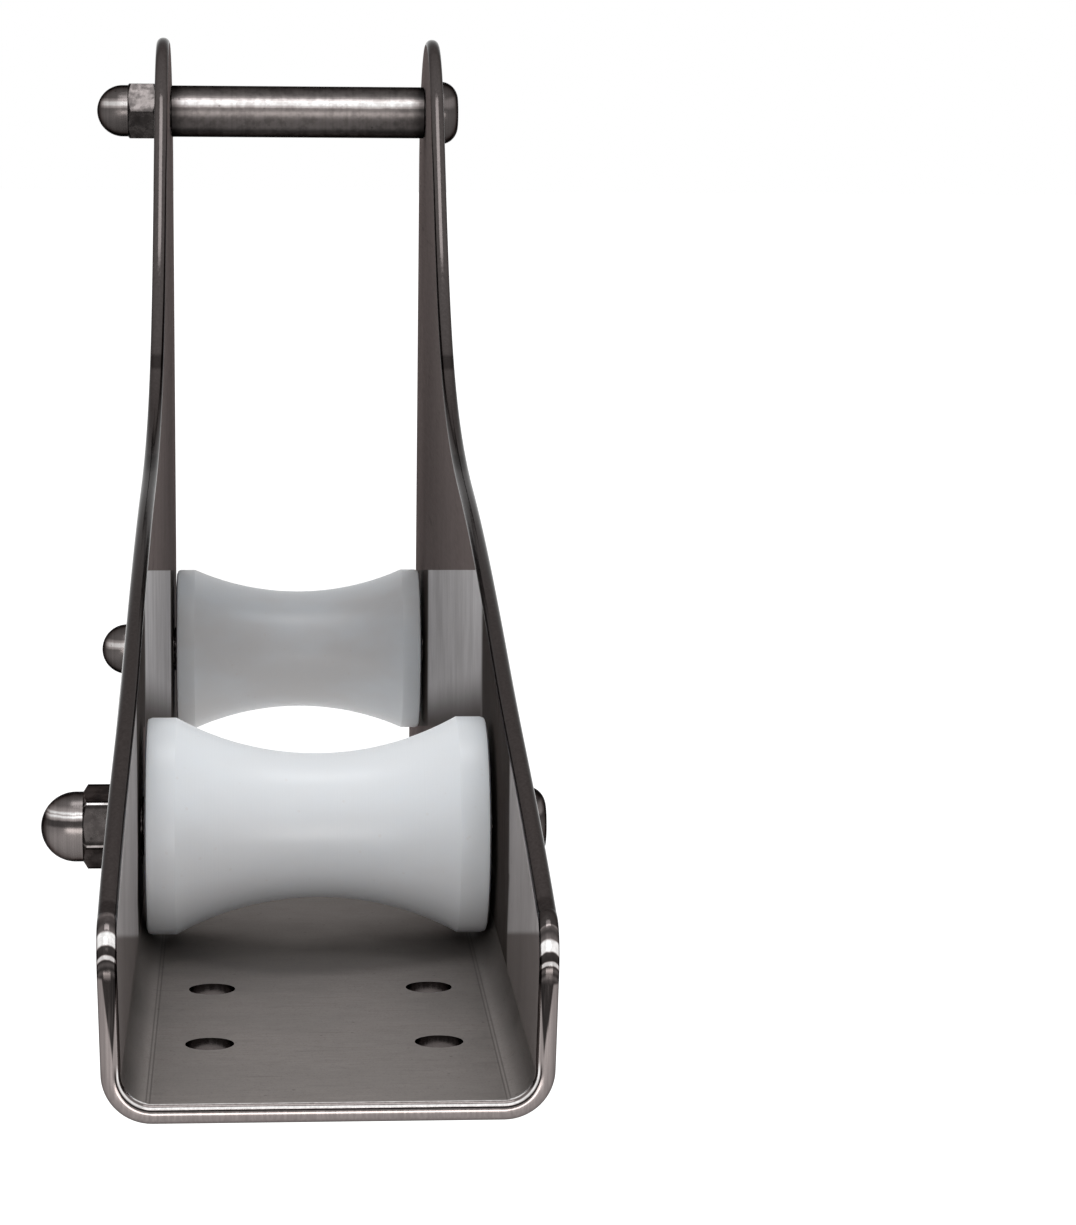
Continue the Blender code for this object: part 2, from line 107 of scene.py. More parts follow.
class NodeBench:
    """Adds and joins the nodes of one shader tree."""

    def __init__(self, tree: bpy.types.NodeTree) -> None:
        """Start on a tree."""
        self.tree = tree

    def add(self, kind: str, **settings: object) -> bpy.types.Node:
        """Add a node.

        Args:
            kind: The node's type name.
            settings: Properties to set on it.

        Returns:
            The new node.
        """
        node = self.tree.nodes.new(kind)
        for name, value in settings.items():
            setattr(node, name, value)
        return node

    def feed(self, target: bpy.types.NodeSocket, value: object) -> None:
        """Link a socket into an input, or set the input to a plain value.

        Args:
            target: The input.
            value: A socket to link, or a number, vector or colour.
        """
        if isinstance(value, bpy.types.NodeSocket):
            self.tree.links.new(value, target)
        else:
            target.default_value = value

    def maths(self, operation: str, *values: object) -> bpy.types.NodeSocket:
        """Work out a number.

        Args:
            operation: The Math node's operation.
            values: Its inputs, sockets or numbers.

        Returns:
            The result's socket.
        """
        node = self.add("ShaderNodeMath", operation=operation)
        for socket, value in zip(node.inputs, values):
            self.feed(socket, value)
        return node.outputs[0]

    def times(self, *values: object) -> bpy.types.NodeSocket:
        """Return the product of two numbers."""
        return self.maths("MULTIPLY", *values)

    def plus(self, *values: object) -> bpy.types.NodeSocket:
        """Return the sum of two numbers."""
        return self.maths("ADD", *values)

    def less(self, *values: object) -> bpy.types.NodeSocket:
        """Return a number less another."""
        return self.maths("SUBTRACT", *values)

    def most(self, *values: object) -> bpy.types.NodeSocket:
        """Return the larger of two numbers."""
        return self.maths("MAXIMUM", *values)

    def size(self, value: object) -> bpy.types.NodeSocket:
        """Return a number without its sign."""
        return self.maths("ABSOLUTE", value)

    def mixed(self, amount: object, first: object, second: object) -> bpy.types.NodeSocket:
        """Mix two colours.

        Args:
            amount: Share of the second colour.
            first: Colour at 0.
            second: Colour at 1.

        Returns:
            The mixed colour's socket.
        """
        node = self.add("ShaderNodeMix", data_type="RGBA")
        for index, value in ((0, amount), (6, first), (7, second)):
            self.feed(node.inputs[index], value)
        return node.outputs[2]

    def layered(self, colour: object, layers: Sequence[tuple[object, object]]) -> object:
        """Mix colours over a first one, in turn.

        Args:
            colour: The first colour.
            layers: How much of each colour to mix in, and the colour.

        Returns:
            The mixed colour's socket.
        """
        for amount, over in layers:
            colour = self.mixed(amount, colour, over)
        return colour

    def spread(
        self, value: object, source: Flat, target: Flat = (0.0, 1.0), smooth: bool = True
    ) -> bpy.types.NodeSocket:
        """Map a number from one range to another, held at its ends.

        Args:
            value: The number.
            source: Range that it comes in.
            target: Range that it leaves in.
            smooth: Whether the step between them is eased.

        Returns:
            The mapped number's socket.
        """
        node = self.add("ShaderNodeMapRange", interpolation_type="SMOOTHSTEP" if smooth else "LINEAR")
        for index, item in enumerate((value, *source, *target)):
            self.feed(node.inputs[index], item)
        return node.outputs[0]

    def place(self) -> bpy.types.NodeSocket:
        """Return the place on the piece, in the frame's metres."""
        return self.add("ShaderNodeTexCoord").outputs["Object"]

    def noise(
        self, vector: object, seed: object, detail: float, roughness: float = 0.6
    ) -> bpy.types.NodeSocket:
        """Return a noise of unit scale.

        Args:
            vector: Where it is read.
            seed: Which noise of its family.
            detail: Number of finer layers.
            roughness: How strong the finer layers are.

        Returns:
            The noise's socket, from 0 to 1.
        """
        node = self.add("ShaderNodeTexNoise", noise_dimensions="4D")
        self.feed(node.inputs["Vector"], vector)
        self.feed(node.inputs["W"], seed)
        node.inputs["Scale"].default_value = 1.0
        node.inputs["Detail"].default_value = detail
        node.inputs["Roughness"].default_value = roughness
        return node.outputs[0]

    def scaled(self, vector: object, amount: object) -> bpy.types.NodeSocket:
        """Return a vector with each part multiplied."""
        node = self.add("ShaderNodeVectorMath", operation="MULTIPLY")
        self.feed(node.inputs[0], vector)
        self.feed(node.inputs[1], amount)
        return node.outputs[0]

    def split(self, vector: object) -> Sequence[bpy.types.NodeSocket]:
        """Return the sockets of a vector's X, Y and Z."""
        node = self.add("ShaderNodeSeparateXYZ")
        self.feed(node.inputs[0], vector)
        return node.outputs

    def blend(self, amount: object, first: object, second: object) -> bpy.types.NodeSocket:
        """Blend two numbers.

        Args:
            amount: Share of the second.
            first: Number at 0.
            second: Number at 1.

        Returns:
            The result's socket.
        """
        node = self.add("ShaderNodeMix", data_type="FLOAT")
        for index, value in ((0, amount), (2, first), (3, second)):
            self.feed(node.inputs[index], value)
        return node.outputs[0]

    def bands(self, value: object, stops: Sequence[Flat]) -> bpy.types.NodeSocket:
        """Read a tone from a row of bands.

        Args:
            value: Where it is read, from -1 to 1.
            stops: Places and tones, in rising order.

        Returns:
            The tone's socket.
        """
        ramp = self.add("ShaderNodeValToRGB")
        row = ramp.color_ramp
        row.interpolation = "EASE"
        row.elements.remove(row.elements[1])
        for index, (place, tone) in enumerate(stops):
            element = row.elements[0] if index == 0 else row.elements.new((place + 1) / 2)
            element.position = (place + 1) / 2
            element.color = (tone, tone, tone, 1.0)
        self.feed(ramp.inputs[0], self.maths("MULTIPLY_ADD", value, 0.5, 0.5))
        return ramp.outputs[0]

    def painted(self, tone: object, tint: Colour) -> bpy.types.NodeSocket:
        """Return a tint as bright as a tone, paler where it is bright."""
        paler = self.mixed(self.spread(tone, (0.15, 0.70)), rgba(tint), rgba(HIGHLIGHT))
        return self.mixed(tone, rgba(BLACK), paler)

    def near(self, value: object, middle: float, core: float, fade: float) -> bpy.types.NodeSocket:
        """Return 1 where a number is within a core of a middle, falling to 0 over a fade."""
        return self.spread(self.size(self.less(value, middle)), (core, core + fade), (1.0, 0.0))

    def reach(self, first: object, second: object) -> bpy.types.NodeSocket:
        """Return the length of a flat vector."""
        return self.maths("SQRT", self.plus(*(self.times(part, part) for part in (first, second))))


@dataclass(frozen=True)
class GroupInput:
    """One input of a shared effect."""

    name: str
    kind: str
    default: object


class Effect:
    """A shader group that is built once and placed in many materials."""

    name: str = ""
    inputs: tuple[GroupInput, ...] = ()
    outputs: tuple[str, ...] = ()

    def wire(self, bench: NodeBench, entry: bpy.types.Node, leave: bpy.types.Node) -> None:
        """Join the group's nodes.

        Args:
            bench: Bench on the group's tree.
            entry: The group's input node.
            leave: The group's output node.
        """
        raise NotImplementedError

    def tree(self) -> bpy.types.NodeTree:
        """Return the group, made at its first use.

        Returns:
            The node group.
        """
        found = bpy.data.node_groups.get(self.name)
        if found:
            return found
        tree = bpy.data.node_groups.new(self.name, "ShaderNodeTree")
        for plan in self.inputs:
            socket = tree.interface.new_socket(plan.name, in_out="INPUT", socket_type=plan.kind)
            socket.default_value = plan.default
        for name in self.outputs:
            tree.interface.new_socket(name, in_out="OUTPUT", socket_type="NodeSocketFloat")
        bench = NodeBench(tree)
        self.wire(bench, bench.add("NodeGroupInput"), bench.add("NodeGroupOutput"))
        return tree

    def put(self, bench: NodeBench, **values: object) -> bpy.types.Node:
        """Place the group in a material.

        Args:
            bench: Bench on the material's tree.
            values: What its inputs are set to, by name.

        Returns:
            The group node.
        """
        node = bench.add("ShaderNodeGroup")
        node.node_tree = self.tree()
        for name, value in values.items():
            bench.feed(node.inputs[name], value)
        return node


class BrushedGrain(Effect):
    """Fine parallel grain and a few longer scratches."""

    name = "Brushed grain"
    inputs = (
        GroupInput("Stretch", "NodeSocketVector", (60.0, 3000.0, 3000.0)),
        GroupInput("Seed", "NodeSocketFloat", 0.0),
    )
    outputs = ("Grain", "Scratches")

    def wire(self, bench: NodeBench, entry: bpy.types.Node, leave: bpy.types.Node) -> None:
        """Join a stretched noise and a sparser one."""
        seed = entry.outputs["Seed"]
        along = bench.scaled(bench.place(), entry.outputs["Stretch"])
        bench.feed(leave.inputs["Grain"], bench.noise(along, seed, 4.0, 0.7))
        wide = bench.scaled(along, (0.35, 0.35, 0.35))
        lines = bench.noise(wide, bench.plus(seed, 7.3), 1.0)
        bench.feed(leave.inputs["Scratches"], bench.spread(lines, (0.66, 0.74)))


class Smudges(Effect):
    """Wide clouds of handling and small scattered pits."""

    name = "Smudges"
    inputs = (
        GroupInput("Frequency", "NodeSocketVector", (30.0, 30.0, 30.0)),
        GroupInput("Seed", "NodeSocketFloat", 0.0),
    )
    outputs = ("Cloud", "Pits")

    def wire(self, bench: NodeBench, entry: bpy.types.Node, leave: bpy.types.Node) -> None:
        """Join a wide noise with a thinned field of spots."""
        seed = entry.outputs["Seed"]
        place = bench.place()
        wide = bench.noise(bench.scaled(place, entry.outputs["Frequency"]), seed, 3.0)
        bench.feed(leave.inputs["Cloud"], bench.spread(wide, (0.36, 0.68)))
        cells = bench.add("ShaderNodeTexVoronoi")
        bench.feed(cells.inputs["Vector"], place)
        cells.inputs["Scale"].default_value = 420.0
        spots = bench.spread(cells.outputs["Distance"], (0.10, 0.20), (1.0, 0.0))
        chosen = bench.noise(bench.scaled(place, (260.0, 260.0, 260.0)), bench.plus(seed, 3.1), 0.0)
        bench.feed(leave.inputs["Pits"], bench.times(spots, bench.spread(chosen, (0.62, 0.70))))


class EdgeWear(Effect):
    """Bright rubbing along convex edges."""

    name = "Edge wear"
    inputs = (GroupInput("Seed", "NodeSocketFloat", 0.0),)
    outputs = ("Edge",)

    def wire(self, bench: NodeBench, entry: bpy.types.Node, leave: bpy.types.Node) -> None:
        """Join the surface's pointiness with a broken noise."""
        sharp = bench.spread(bench.add("ShaderNodeNewGeometry").outputs["Pointiness"], (0.51, 0.60))
        broken = bench.noise(bench.scaled(bench.place(), (400.0, 400.0, 400.0)), entry.outputs["Seed"], 3.0)
        bench.feed(leave.inputs["Edge"], bench.times(sharp, bench.spread(broken, (0.3, 0.6))))


class Facing(Effect):
    """Which way a surface faces, with the slight waves of hand polishing."""

    name = "Facing"
    inputs = (
        GroupInput("Wave", "NodeSocketFloat", 0.04),
        GroupInput("Seed", "NodeSocketFloat", 0.0),
    )
    outputs = ("Up", "Back", "Side", "Shake")

    def wire(self, bench: NodeBench, entry: bpy.types.Node, leave: bpy.types.Node) -> None:
        """Split the piece's own normal and shake its upward part."""
        side, forward, upward = bench.split(bench.add("ShaderNodeTexCoord").outputs["Normal"])
        wave = bench.noise(bench.scaled(bench.place(), (450.0, 450.0, 450.0)), entry.outputs["Seed"], 2.0)
        shake = bench.times(bench.less(wave, 0.5), entry.outputs["Wave"])
        bench.feed(leave.inputs["Up"], bench.plus(upward, shake))
        bench.feed(leave.inputs["Back"], bench.times(forward, -1.0))
        bench.feed(leave.inputs["Side"], side)
        bench.feed(leave.inputs["Shake"], shake)


class Turning(Effect):
    """Tool lines left on a lathe, about an axis along X."""

    name = "Turning"
    inputs = (
        GroupInput("AxisY", "NodeSocketFloat", 0.0),
        GroupInput("AxisZ", "NodeSocketFloat", 0.0),
        GroupInput("Lines", "NodeSocketFloat", 2500.0),
    )
    outputs = ("Along", "Rings")

    def wire(self, bench: NodeBench, entry: bpy.types.Node, leave: bpy.types.Node) -> None:
        """Read a one-line noise along the axis and along the radius."""
        x, y, z = bench.split(bench.place())
        away = (bench.less(y, entry.outputs["AxisY"]), bench.less(z, entry.outputs["AxisZ"]))
        for name, distance in (("Along", x), ("Rings", bench.reach(*away))):
            lines = bench.add("ShaderNodeTexNoise", noise_dimensions="1D")
            bench.feed(lines.inputs["W"], bench.times(distance, entry.outputs["Lines"]))
            lines.inputs["Scale"].default_value = 1.0
            lines.inputs["Detail"].default_value = 3.0
            bench.feed(leave.inputs[name], lines.outputs[0])


def new_material(name: str) -> tuple[bpy.types.Material, NodeBench, bpy.types.Node]:
    """Make an empty Principled material.

    Args:
        name: The material's name.

    Returns:
        The material, a bench on its tree and its shader.
    """
    material = bpy.data.materials.new(name)
    material.use_nodes = True
    tree = material.node_tree
    return material, NodeBench(tree), tree.nodes["Principled BSDF"]


def add_bump(bench: NodeBench, shader: bpy.types.Node, height: object, depth: float) -> None:
    """Raise a surface by a height map.

    Args:
        bench: Bench on the material's tree.
        shader: Its Principled shader.
        height: The map, from 0 to 1.
        depth: Height of 1, in metres.
    """
    bump = bench.add("ShaderNodeBump")
    bump.inputs["Distance"].default_value = depth
    bump.inputs["Strength"].default_value = 1.0
    bench.feed(bump.inputs["Height"], height)
    bench.feed(shader.inputs["Normal"], bump.outputs[0])


def set_steel(
    bench: NodeBench, shader: bpy.types.Node, colour: object, rough: object, grazing: float
) -> None:
    """Make a shader a metal.

    Args:
        bench: Bench on the material's tree.
        shader: Its Principled shader.
        colour: The metal's colour.
        rough: Its roughness.
        grazing: How bright it is near a grazing angle.
    """
    bench.feed(shader.inputs["Base Color"], colour)
    bench.feed(shader.inputs["Roughness"], rough)
    shader.inputs["Metallic"].default_value = 1.0
    shader.inputs["Specular Tint"].default_value = rgba((grazing,) * 3)


@dataclass(frozen=True)
class PlateFinish:
    """Stainless plate: a tone with darker clouds, a grain, pits and rubbed edges."""

    name: str
    tone: Colour
    shade: Colour
    gloss: Flat
    stretch: Point
    relief: float = 0.000004
    grazing: float = 1.0
    pits: float = 0.5
    wear: float = 0.0
    cloud: Point = (30.0, 30.0, 30.0)
    floor_lines_and_shade: bool = False
    speckle: float = 0.0
    glints: float = 0.0
    seed: float = 0.0
    # Places and widths of dark lines along the starts of the inner bends.
    bend_lines: Flat = (0.0346, 0.0353)
    bend_line_width: Flat = (0.00008, 0.00016)
    bend_shade: Flat = (0.0350, 0.0380)
    roller_shade: Flat = (0.0360, 0.0450)
    roller_shade_ahead: float = 0.0030
    darkest: float = 0.45
    brightest: float = 1.35

    def add_floor_lines_and_shade(self, bench: NodeBench, colour: bpy.types.NodeSocket) -> bpy.types.NodeSocket:
        """Draw dark lines beside the inner bends, painted shade in the bends and a painted shadow under the
        roller.

        Args:
            bench: Bench on the material's tree.
            colour: The floor's colour.

        Returns:
            The colour with the lines, the painted shade and the painted shadow.
        """
        x, y, _ = bench.split(bench.place())
        side = bench.size(x)
        lines = bench.most(*(bench.near(side, away, *self.bend_line_width) for away in self.bend_lines))
        dark = rgba(shaded(self.shade, self.darkest))
        # Painted shade, darker towards the inner bends.
        bent = bench.spread(side, self.bend_shade, (0.0, 0.42))
        colour = bench.mixed(bench.most(bent, bench.times(lines, 0.55)), colour, dark)
        # Painted shadow on the floor under the aft roller.
        away = bench.reach(x, bench.less(y, AFT_AXLE.y + self.roller_shade_ahead))
        return bench.mixed(bench.spread(away, self.roller_shade, (0.36, 0.0)), colour, dark)

    def build(self) -> bpy.types.Material:
        """Make the material.

        Returns:
            The material.
        """
        material, bench, shader = new_material(self.name)
        grain = BrushedGrain().put(bench, Stretch=self.stretch, Seed=self.seed)
        smudges = Smudges().put(bench, Frequency=self.cloud, Seed=self.seed)
        colour = bench.mixed(smudges.outputs["Cloud"], rgba(self.tone), rgba(self.shade))
        light = rgba(shaded(self.tone, self.brightest))
        dark = rgba(shaded(self.shade, self.darkest))
        layers = [
            (bench.spread(grain.outputs["Grain"], (0.30, 0.75), (0.0, 0.55)), light),
            (bench.times(grain.outputs["Scratches"], 0.25), dark),
            (bench.times(smudges.outputs["Pits"], self.pits), dark),
        ]
        if self.wear:
            edge = EdgeWear().put(bench, Seed=self.seed).outputs["Edge"]
            layers.append((bench.times(edge, self.wear), rgba(shaded(self.tone, 2.4))))
        if self.speckle:
            place = bench.scaled(bench.place(), (2400.0, 1500.0, 2400.0))
            dots = bench.noise(place, self.seed + 5.0, 2.0, 0.7)
            layers.append((bench.spread(dots, (0.52, 0.72), (0.0, self.speckle)), dark))
            layers.append((bench.spread(dots, (0.28, 0.46), (self.speckle, 0.0)), light))
        if self.glints:
            streaks = bench.noise(bench.scaled(bench.place(), (1500.0, 1500.0, 90.0)), self.seed, 1.0)
            layers.append((bench.spread(streaks, (0.62, 0.74), (0.0, self.glints)), rgba((0.6,) * 3)))
        colour = bench.layered(colour, layers)
        if self.floor_lines_and_shade:
            colour = self.add_floor_lines_and_shade(bench, colour)
        rough = bench.times(bench.plus(grain.outputs["Grain"], smudges.outputs["Cloud"]), 0.5)
        rough = bench.spread(rough, (0.15, 0.85), self.gloss, smooth=False)
        set_steel(bench, shader, colour, rough, self.grazing)
        add_bump(bench, shader, grain.outputs["Grain"], self.relief)
        return material


@dataclass(frozen=True)
class RimFinish:
    """Cut edges of the plate, polished to a mirror at the aft end and left darker along the horns.

    The tones of the aft end are painted reflections and highlights from three rows of bands: round the bend
    and the floor by how far the edge faces inward, up the wall by the same, and over the top corner by
    height. A painted dark reflection runs down the middle of each wall end.
    """

    name: str
    tint: Colour = (1.0, 0.875, 0.850)
    gloss: Flat = (0.10, 0.18)
    grazing: float = 0.42
    # Heights and half widths of two dark bands across the sloped edges, and their tone.
    smudges: tuple[Flat, ...] = ((0.1174, 0.0012), (0.0957, 0.0008))
    dark_band_tone: float = 0.040
    slope_tone: float = 0.075
    bend_centre: Flat = (0.0340, 0.0100)
    aft_reach: float = 0.0150
    # Middle and tone of a painted dark reflection down each wall end.
    dark_reflection_middle: float = 0.24
    dark_reflection_tone: float = 0.015
    droop: float = 0.18
    corner_height: float = 0.0285
    corner_radius: float = 0.0115
    starboard_drop: float = 0.0019
    # Painted reflection bands round the bend and along the floor's aft edge.
    floor_reflection_row: tuple[Flat, ...] = (
        (-1.0, 0.14), (-0.2, 0.19), (0.15, 0.22), (0.34, 0.14), (0.40, 0.015), (0.49, 0.015), (0.57, 0.45),
        (0.63, 0.75), (0.72, 0.75), (0.79, 0.16), (0.90, 0.11), (0.955, 0.40), (0.985, 0.95), (1.0, 0.95),
    )
    # Painted reflection tones up each wall end.
    wall_reflection_row: tuple[Flat, ...] = (
        (-1.0, 0.07), (-0.85, 0.18), (0.5, 0.21), (0.80, 0.32), (0.92, 0.18), (1.0, 0.06),
    )
    # Painted reflections and highlights over the top corner of each wall end.
    corner_reflection_row: tuple[Flat, ...] = (
        (-1.0, 0.02), (0.05, 0.02), (0.10, 0.03), (0.17, 0.07), (0.23, 0.03), (0.30, 0.08), (0.355, 0.03),
        (0.385, 0.60), (0.42, 0.60), (0.45, 0.03), (0.575, 0.04), (0.615, 0.85), (0.755, 0.90), (0.80, 0.12),
        (0.90, 0.06), (0.955, 0.09), (0.98, 0.18), (1.0, 0.05),
    )

    def build(self) -> bpy.types.Material:
        """Make the material.

        Returns:
            The material.
        """
        material, bench, shader = new_material(self.name)
        facing = Facing().put(bench, Wave=0.05, Seed=2.0)
        x, y, z = bench.split(bench.place())
        out = bench.most(bench.less(bench.size(x), self.bend_centre[0]), 0.0)
        down = bench.most(bench.less(self.bend_centre[1], z), 0.0)
        sideways = bench.times(facing.outputs["Side"], bench.maths("SIGN", x))
        lifted = bench.times(down, facing.outputs["Up"])
        inward = bench.less(lifted, bench.times(out, sideways))
        inward = bench.maths("DIVIDE", inward, bench.reach(out, down))
        streaks = bench.noise(bench.scaled(bench.place(), (1600.0, 1600.0, 60.0)), 4.0, 2.0)
        # Painted dark reflection down each wall end, widening upward and broken by streaks.
        wide = bench.spread(z, (0.0098, 0.0290), (-0.12, 0.72), smooth=False)
        away = bench.size(bench.less(inward, self.dark_reflection_middle))
        dark_reflection = bench.spread(bench.less(away, wide), (-0.10, 0.06), (1.0, 0.0))
        dark_reflection = bench.times(dark_reflection, bench.spread(streaks, (0.25, 0.55), (0.80, 1.0)))
        wall = bench.blend(dark_reflection, bench.bands(inward, self.wall_reflection_row), self.dark_reflection_tone)
        # Painted reflection bands over the top corner, arched where the edge turns sideways.
        standing = bench.reach(facing.outputs["Up"], facing.outputs["Back"])
        lower = bench.spread(x, (-0.001, 0.001), (0.0, self.starboard_drop))
        height = bench.plus(bench.less(z, self.corner_height), lower)
        rise = bench.maths("DIVIDE", height, self.corner_radius)
        rounded = bench.maths("MULTIPLY_ADD", bench.less(1.0, standing), self.droop, rise)
        rounded = bench.plus(rounded, facing.outputs["Shake"])
        fading = bench.spread(bench.size(inward), (0.75, 0.97), (1.0, 0.30))
        rounded = bench.times(bench.bands(rounded, self.corner_reflection_row), fading)
        wall = bench.blend(bench.spread(rise, (0.02, 0.08)), wall, rounded)
        # Painted reflection bands round the bend and the floor's aft edge, below the wall's.
        rim = bench.blend(bench.spread(z, (0.0095, 0.0125)), bench.bands(inward, self.floor_reflection_row), wall)
        middle = bench.spread(z, (0.08, 0.19), (0.072, 0.078))
        slope = bench.blend(bench.spread(bench.size(sideways), (0.35, 0.95)), middle, self.slope_tone)
        # Two dark bands across the sloped edges.
        for height, half in self.smudges:
            slope = bench.blend(bench.near(z, height, half, half), slope, self.dark_band_tone)
        aft = bench.spread(y, (AFT_END + self.aft_reach, AFT_END + self.aft_reach + 0.002), (1.0, 0.0))
        tone = bench.blend(aft, slope, rim)
        tone = bench.times(tone, bench.spread(streaks, (0.25, 0.75), (0.86, 1.12)))
        rough = bench.spread(streaks, (0.3, 0.7), self.gloss)
        set_steel(bench, shader, bench.painted(tone, self.tint), rough, self.grazing)
        add_bump(bench, shader, streaks, 0.000003)
        return material


@dataclass(frozen=True)
class CheekFinish:
    """Inner faces of the cheeks: painted roller reflections, dull aft of them and painted shade beside the
    rollers.
    """

    name: str
    # Tones of the painted reflections of the rollers, between them and aft of them.
    pale: Colour = (0.78, 0.765, 0.775)
    aft_pale: Colour = (0.56, 0.535, 0.535)
    dull: Colour = (0.23, 0.205, 0.198)
    low: Colour = (0.11, 0.095, 0.090)
    # Tone of the painted shade beside the rollers, also used for the pits.
    painted_shade: Colour = (0.045, 0.037, 0.034)
    gloss: Flat = (0.58, 0.70)
    grazing: float = 0.30
    aft_line: Flat = (0.0212, -0.2300)
    low_line: Flat = (0.0676, -0.1790)
    beside_aft: Flat = (0.0125, 0.0450)
    past_aft: float = 0.1120
    beside_fore: float = 0.3920
    softness: float = 0.0060

    def above(self, bench: NodeBench, line: Flat, y: object, z: object) -> bpy.types.NodeSocket:
        """Return how far a place is above a line that is given by its height at Y 0 and its slope."""
        return bench.less(z, bench.maths("MULTIPLY_ADD", y, line[1], line[0]))

    def build(self) -> bpy.types.Material:
        """Make the material.

        Returns:
            The material.
        """
        material, bench, shader = new_material(self.name)
        x, y, z = bench.split(bench.place())
        grain = BrushedGrain().put(bench, Stretch=(900.0, 1400.0, 90.0), Seed=3.0)
        smudges = Smudges().put(bench, Frequency=(30.0, 45.0, 30.0), Seed=3.0)
        # Painted reflections of the rollers: above the aft line, and rising above the low line between the
        # rollers.
        foot = bench.spread(self.above(bench, self.aft_line, y, z), (-0.0006, 0.0008))
        reflected = bench.spread(self.above(bench, self.low_line, y, z), (0.0, 0.0140))
        forward, beside = (
            bench.spread(y, (line - self.softness, line + self.softness))
            for line in (self.past_aft, self.beside_fore)
        )
        aft = bench.mixed(foot, rgba(self.dull), rgba(self.aft_pale))
        colour = bench.mixed(forward, aft, bench.mixed(reflected, rgba(self.low), rgba(self.pale)))
        # Painted shade beside the aft roller, and in a column beside the fore roller.
        port = bench.spread(x, (-0.001, 0.001), (1.0, 0.0))
        painted_shade = bench.spread(bench.less(y, bench.blend(port, *self.beside_aft)), (0.0, self.softness))
        painted_shade = bench.most(bench.times(painted_shade, bench.less(1.0, forward)), beside)
        streaked = bench.spread(grain.outputs["Grain"], (0.30, 0.75), (0.28, 0.0))
        colour = bench.layered(colour, (
            (painted_shade, rgba(self.painted_shade)),
            (bench.times(smudges.outputs["Cloud"], 0.22), rgba(shaded(self.dull, 0.5))),
            (streaked, rgba(shaded(self.dull, 0.55))),
            (bench.times(smudges.outputs["Pits"], 0.3), rgba(self.painted_shade)),
        ))
        rough = bench.spread(grain.outputs["Grain"], (0.3, 0.7), self.gloss)
        set_steel(bench, shader, colour, rough, self.grazing)
        add_bump(bench, shader, grain.outputs["Grain"], 0.000001)
        return material


@dataclass(frozen=True)
class NylonFinish:
    """Turned white nylon with tool lines, faint stains and a soft sheen."""

    name: str
    axis: Vector
    tone: Colour = (0.74, 0.77, 0.80)
    stain: Colour = (0.58, 0.50, 0.44)
    tooled: Colour = (0.66, 0.68, 0.70)
    staining: float = 0.12
    gloss: Flat = (0.30, 0.42)

    def build(self) -> bpy.types.Material:
        """Make the material.

        Returns:
            The material.
        """
        material, bench, shader = new_material(self.name)
        turning = Turning().put(bench, AxisY=self.axis.y, AxisZ=self.axis.z, Lines=3000.0)
        smudges = Smudges().put(bench, Frequency=(24.0, 40.0, 40.0), Seed=self.axis.y * 10)
        colour = bench.layered(rgba(self.tone), (
            (bench.times(smudges.outputs["Cloud"], self.staining), rgba(self.stain)),
            (bench.spread(turning.outputs["Along"], (0.35, 0.65), (0.0, 0.05)), rgba(self.tooled)),
            (bench.times(smudges.outputs["Pits"], 0.15), rgba(self.stain)),
        ))
        bench.feed(shader.inputs["Base Color"], colour)
        rough = bench.spread(turning.outputs["Along"], (0.3, 0.7), self.gloss)
        bench.feed(shader.inputs["Roughness"], rough)
        shader.inputs["Subsurface Weight"].default_value = 0.25
        shader.inputs["Subsurface Radius"].default_value = (0.8, 0.9, 1.0)
        shader.inputs["Subsurface Scale"].default_value = 0.002
        add_bump(bench, shader, turning.outputs["Along"], 0.000012)
        return material


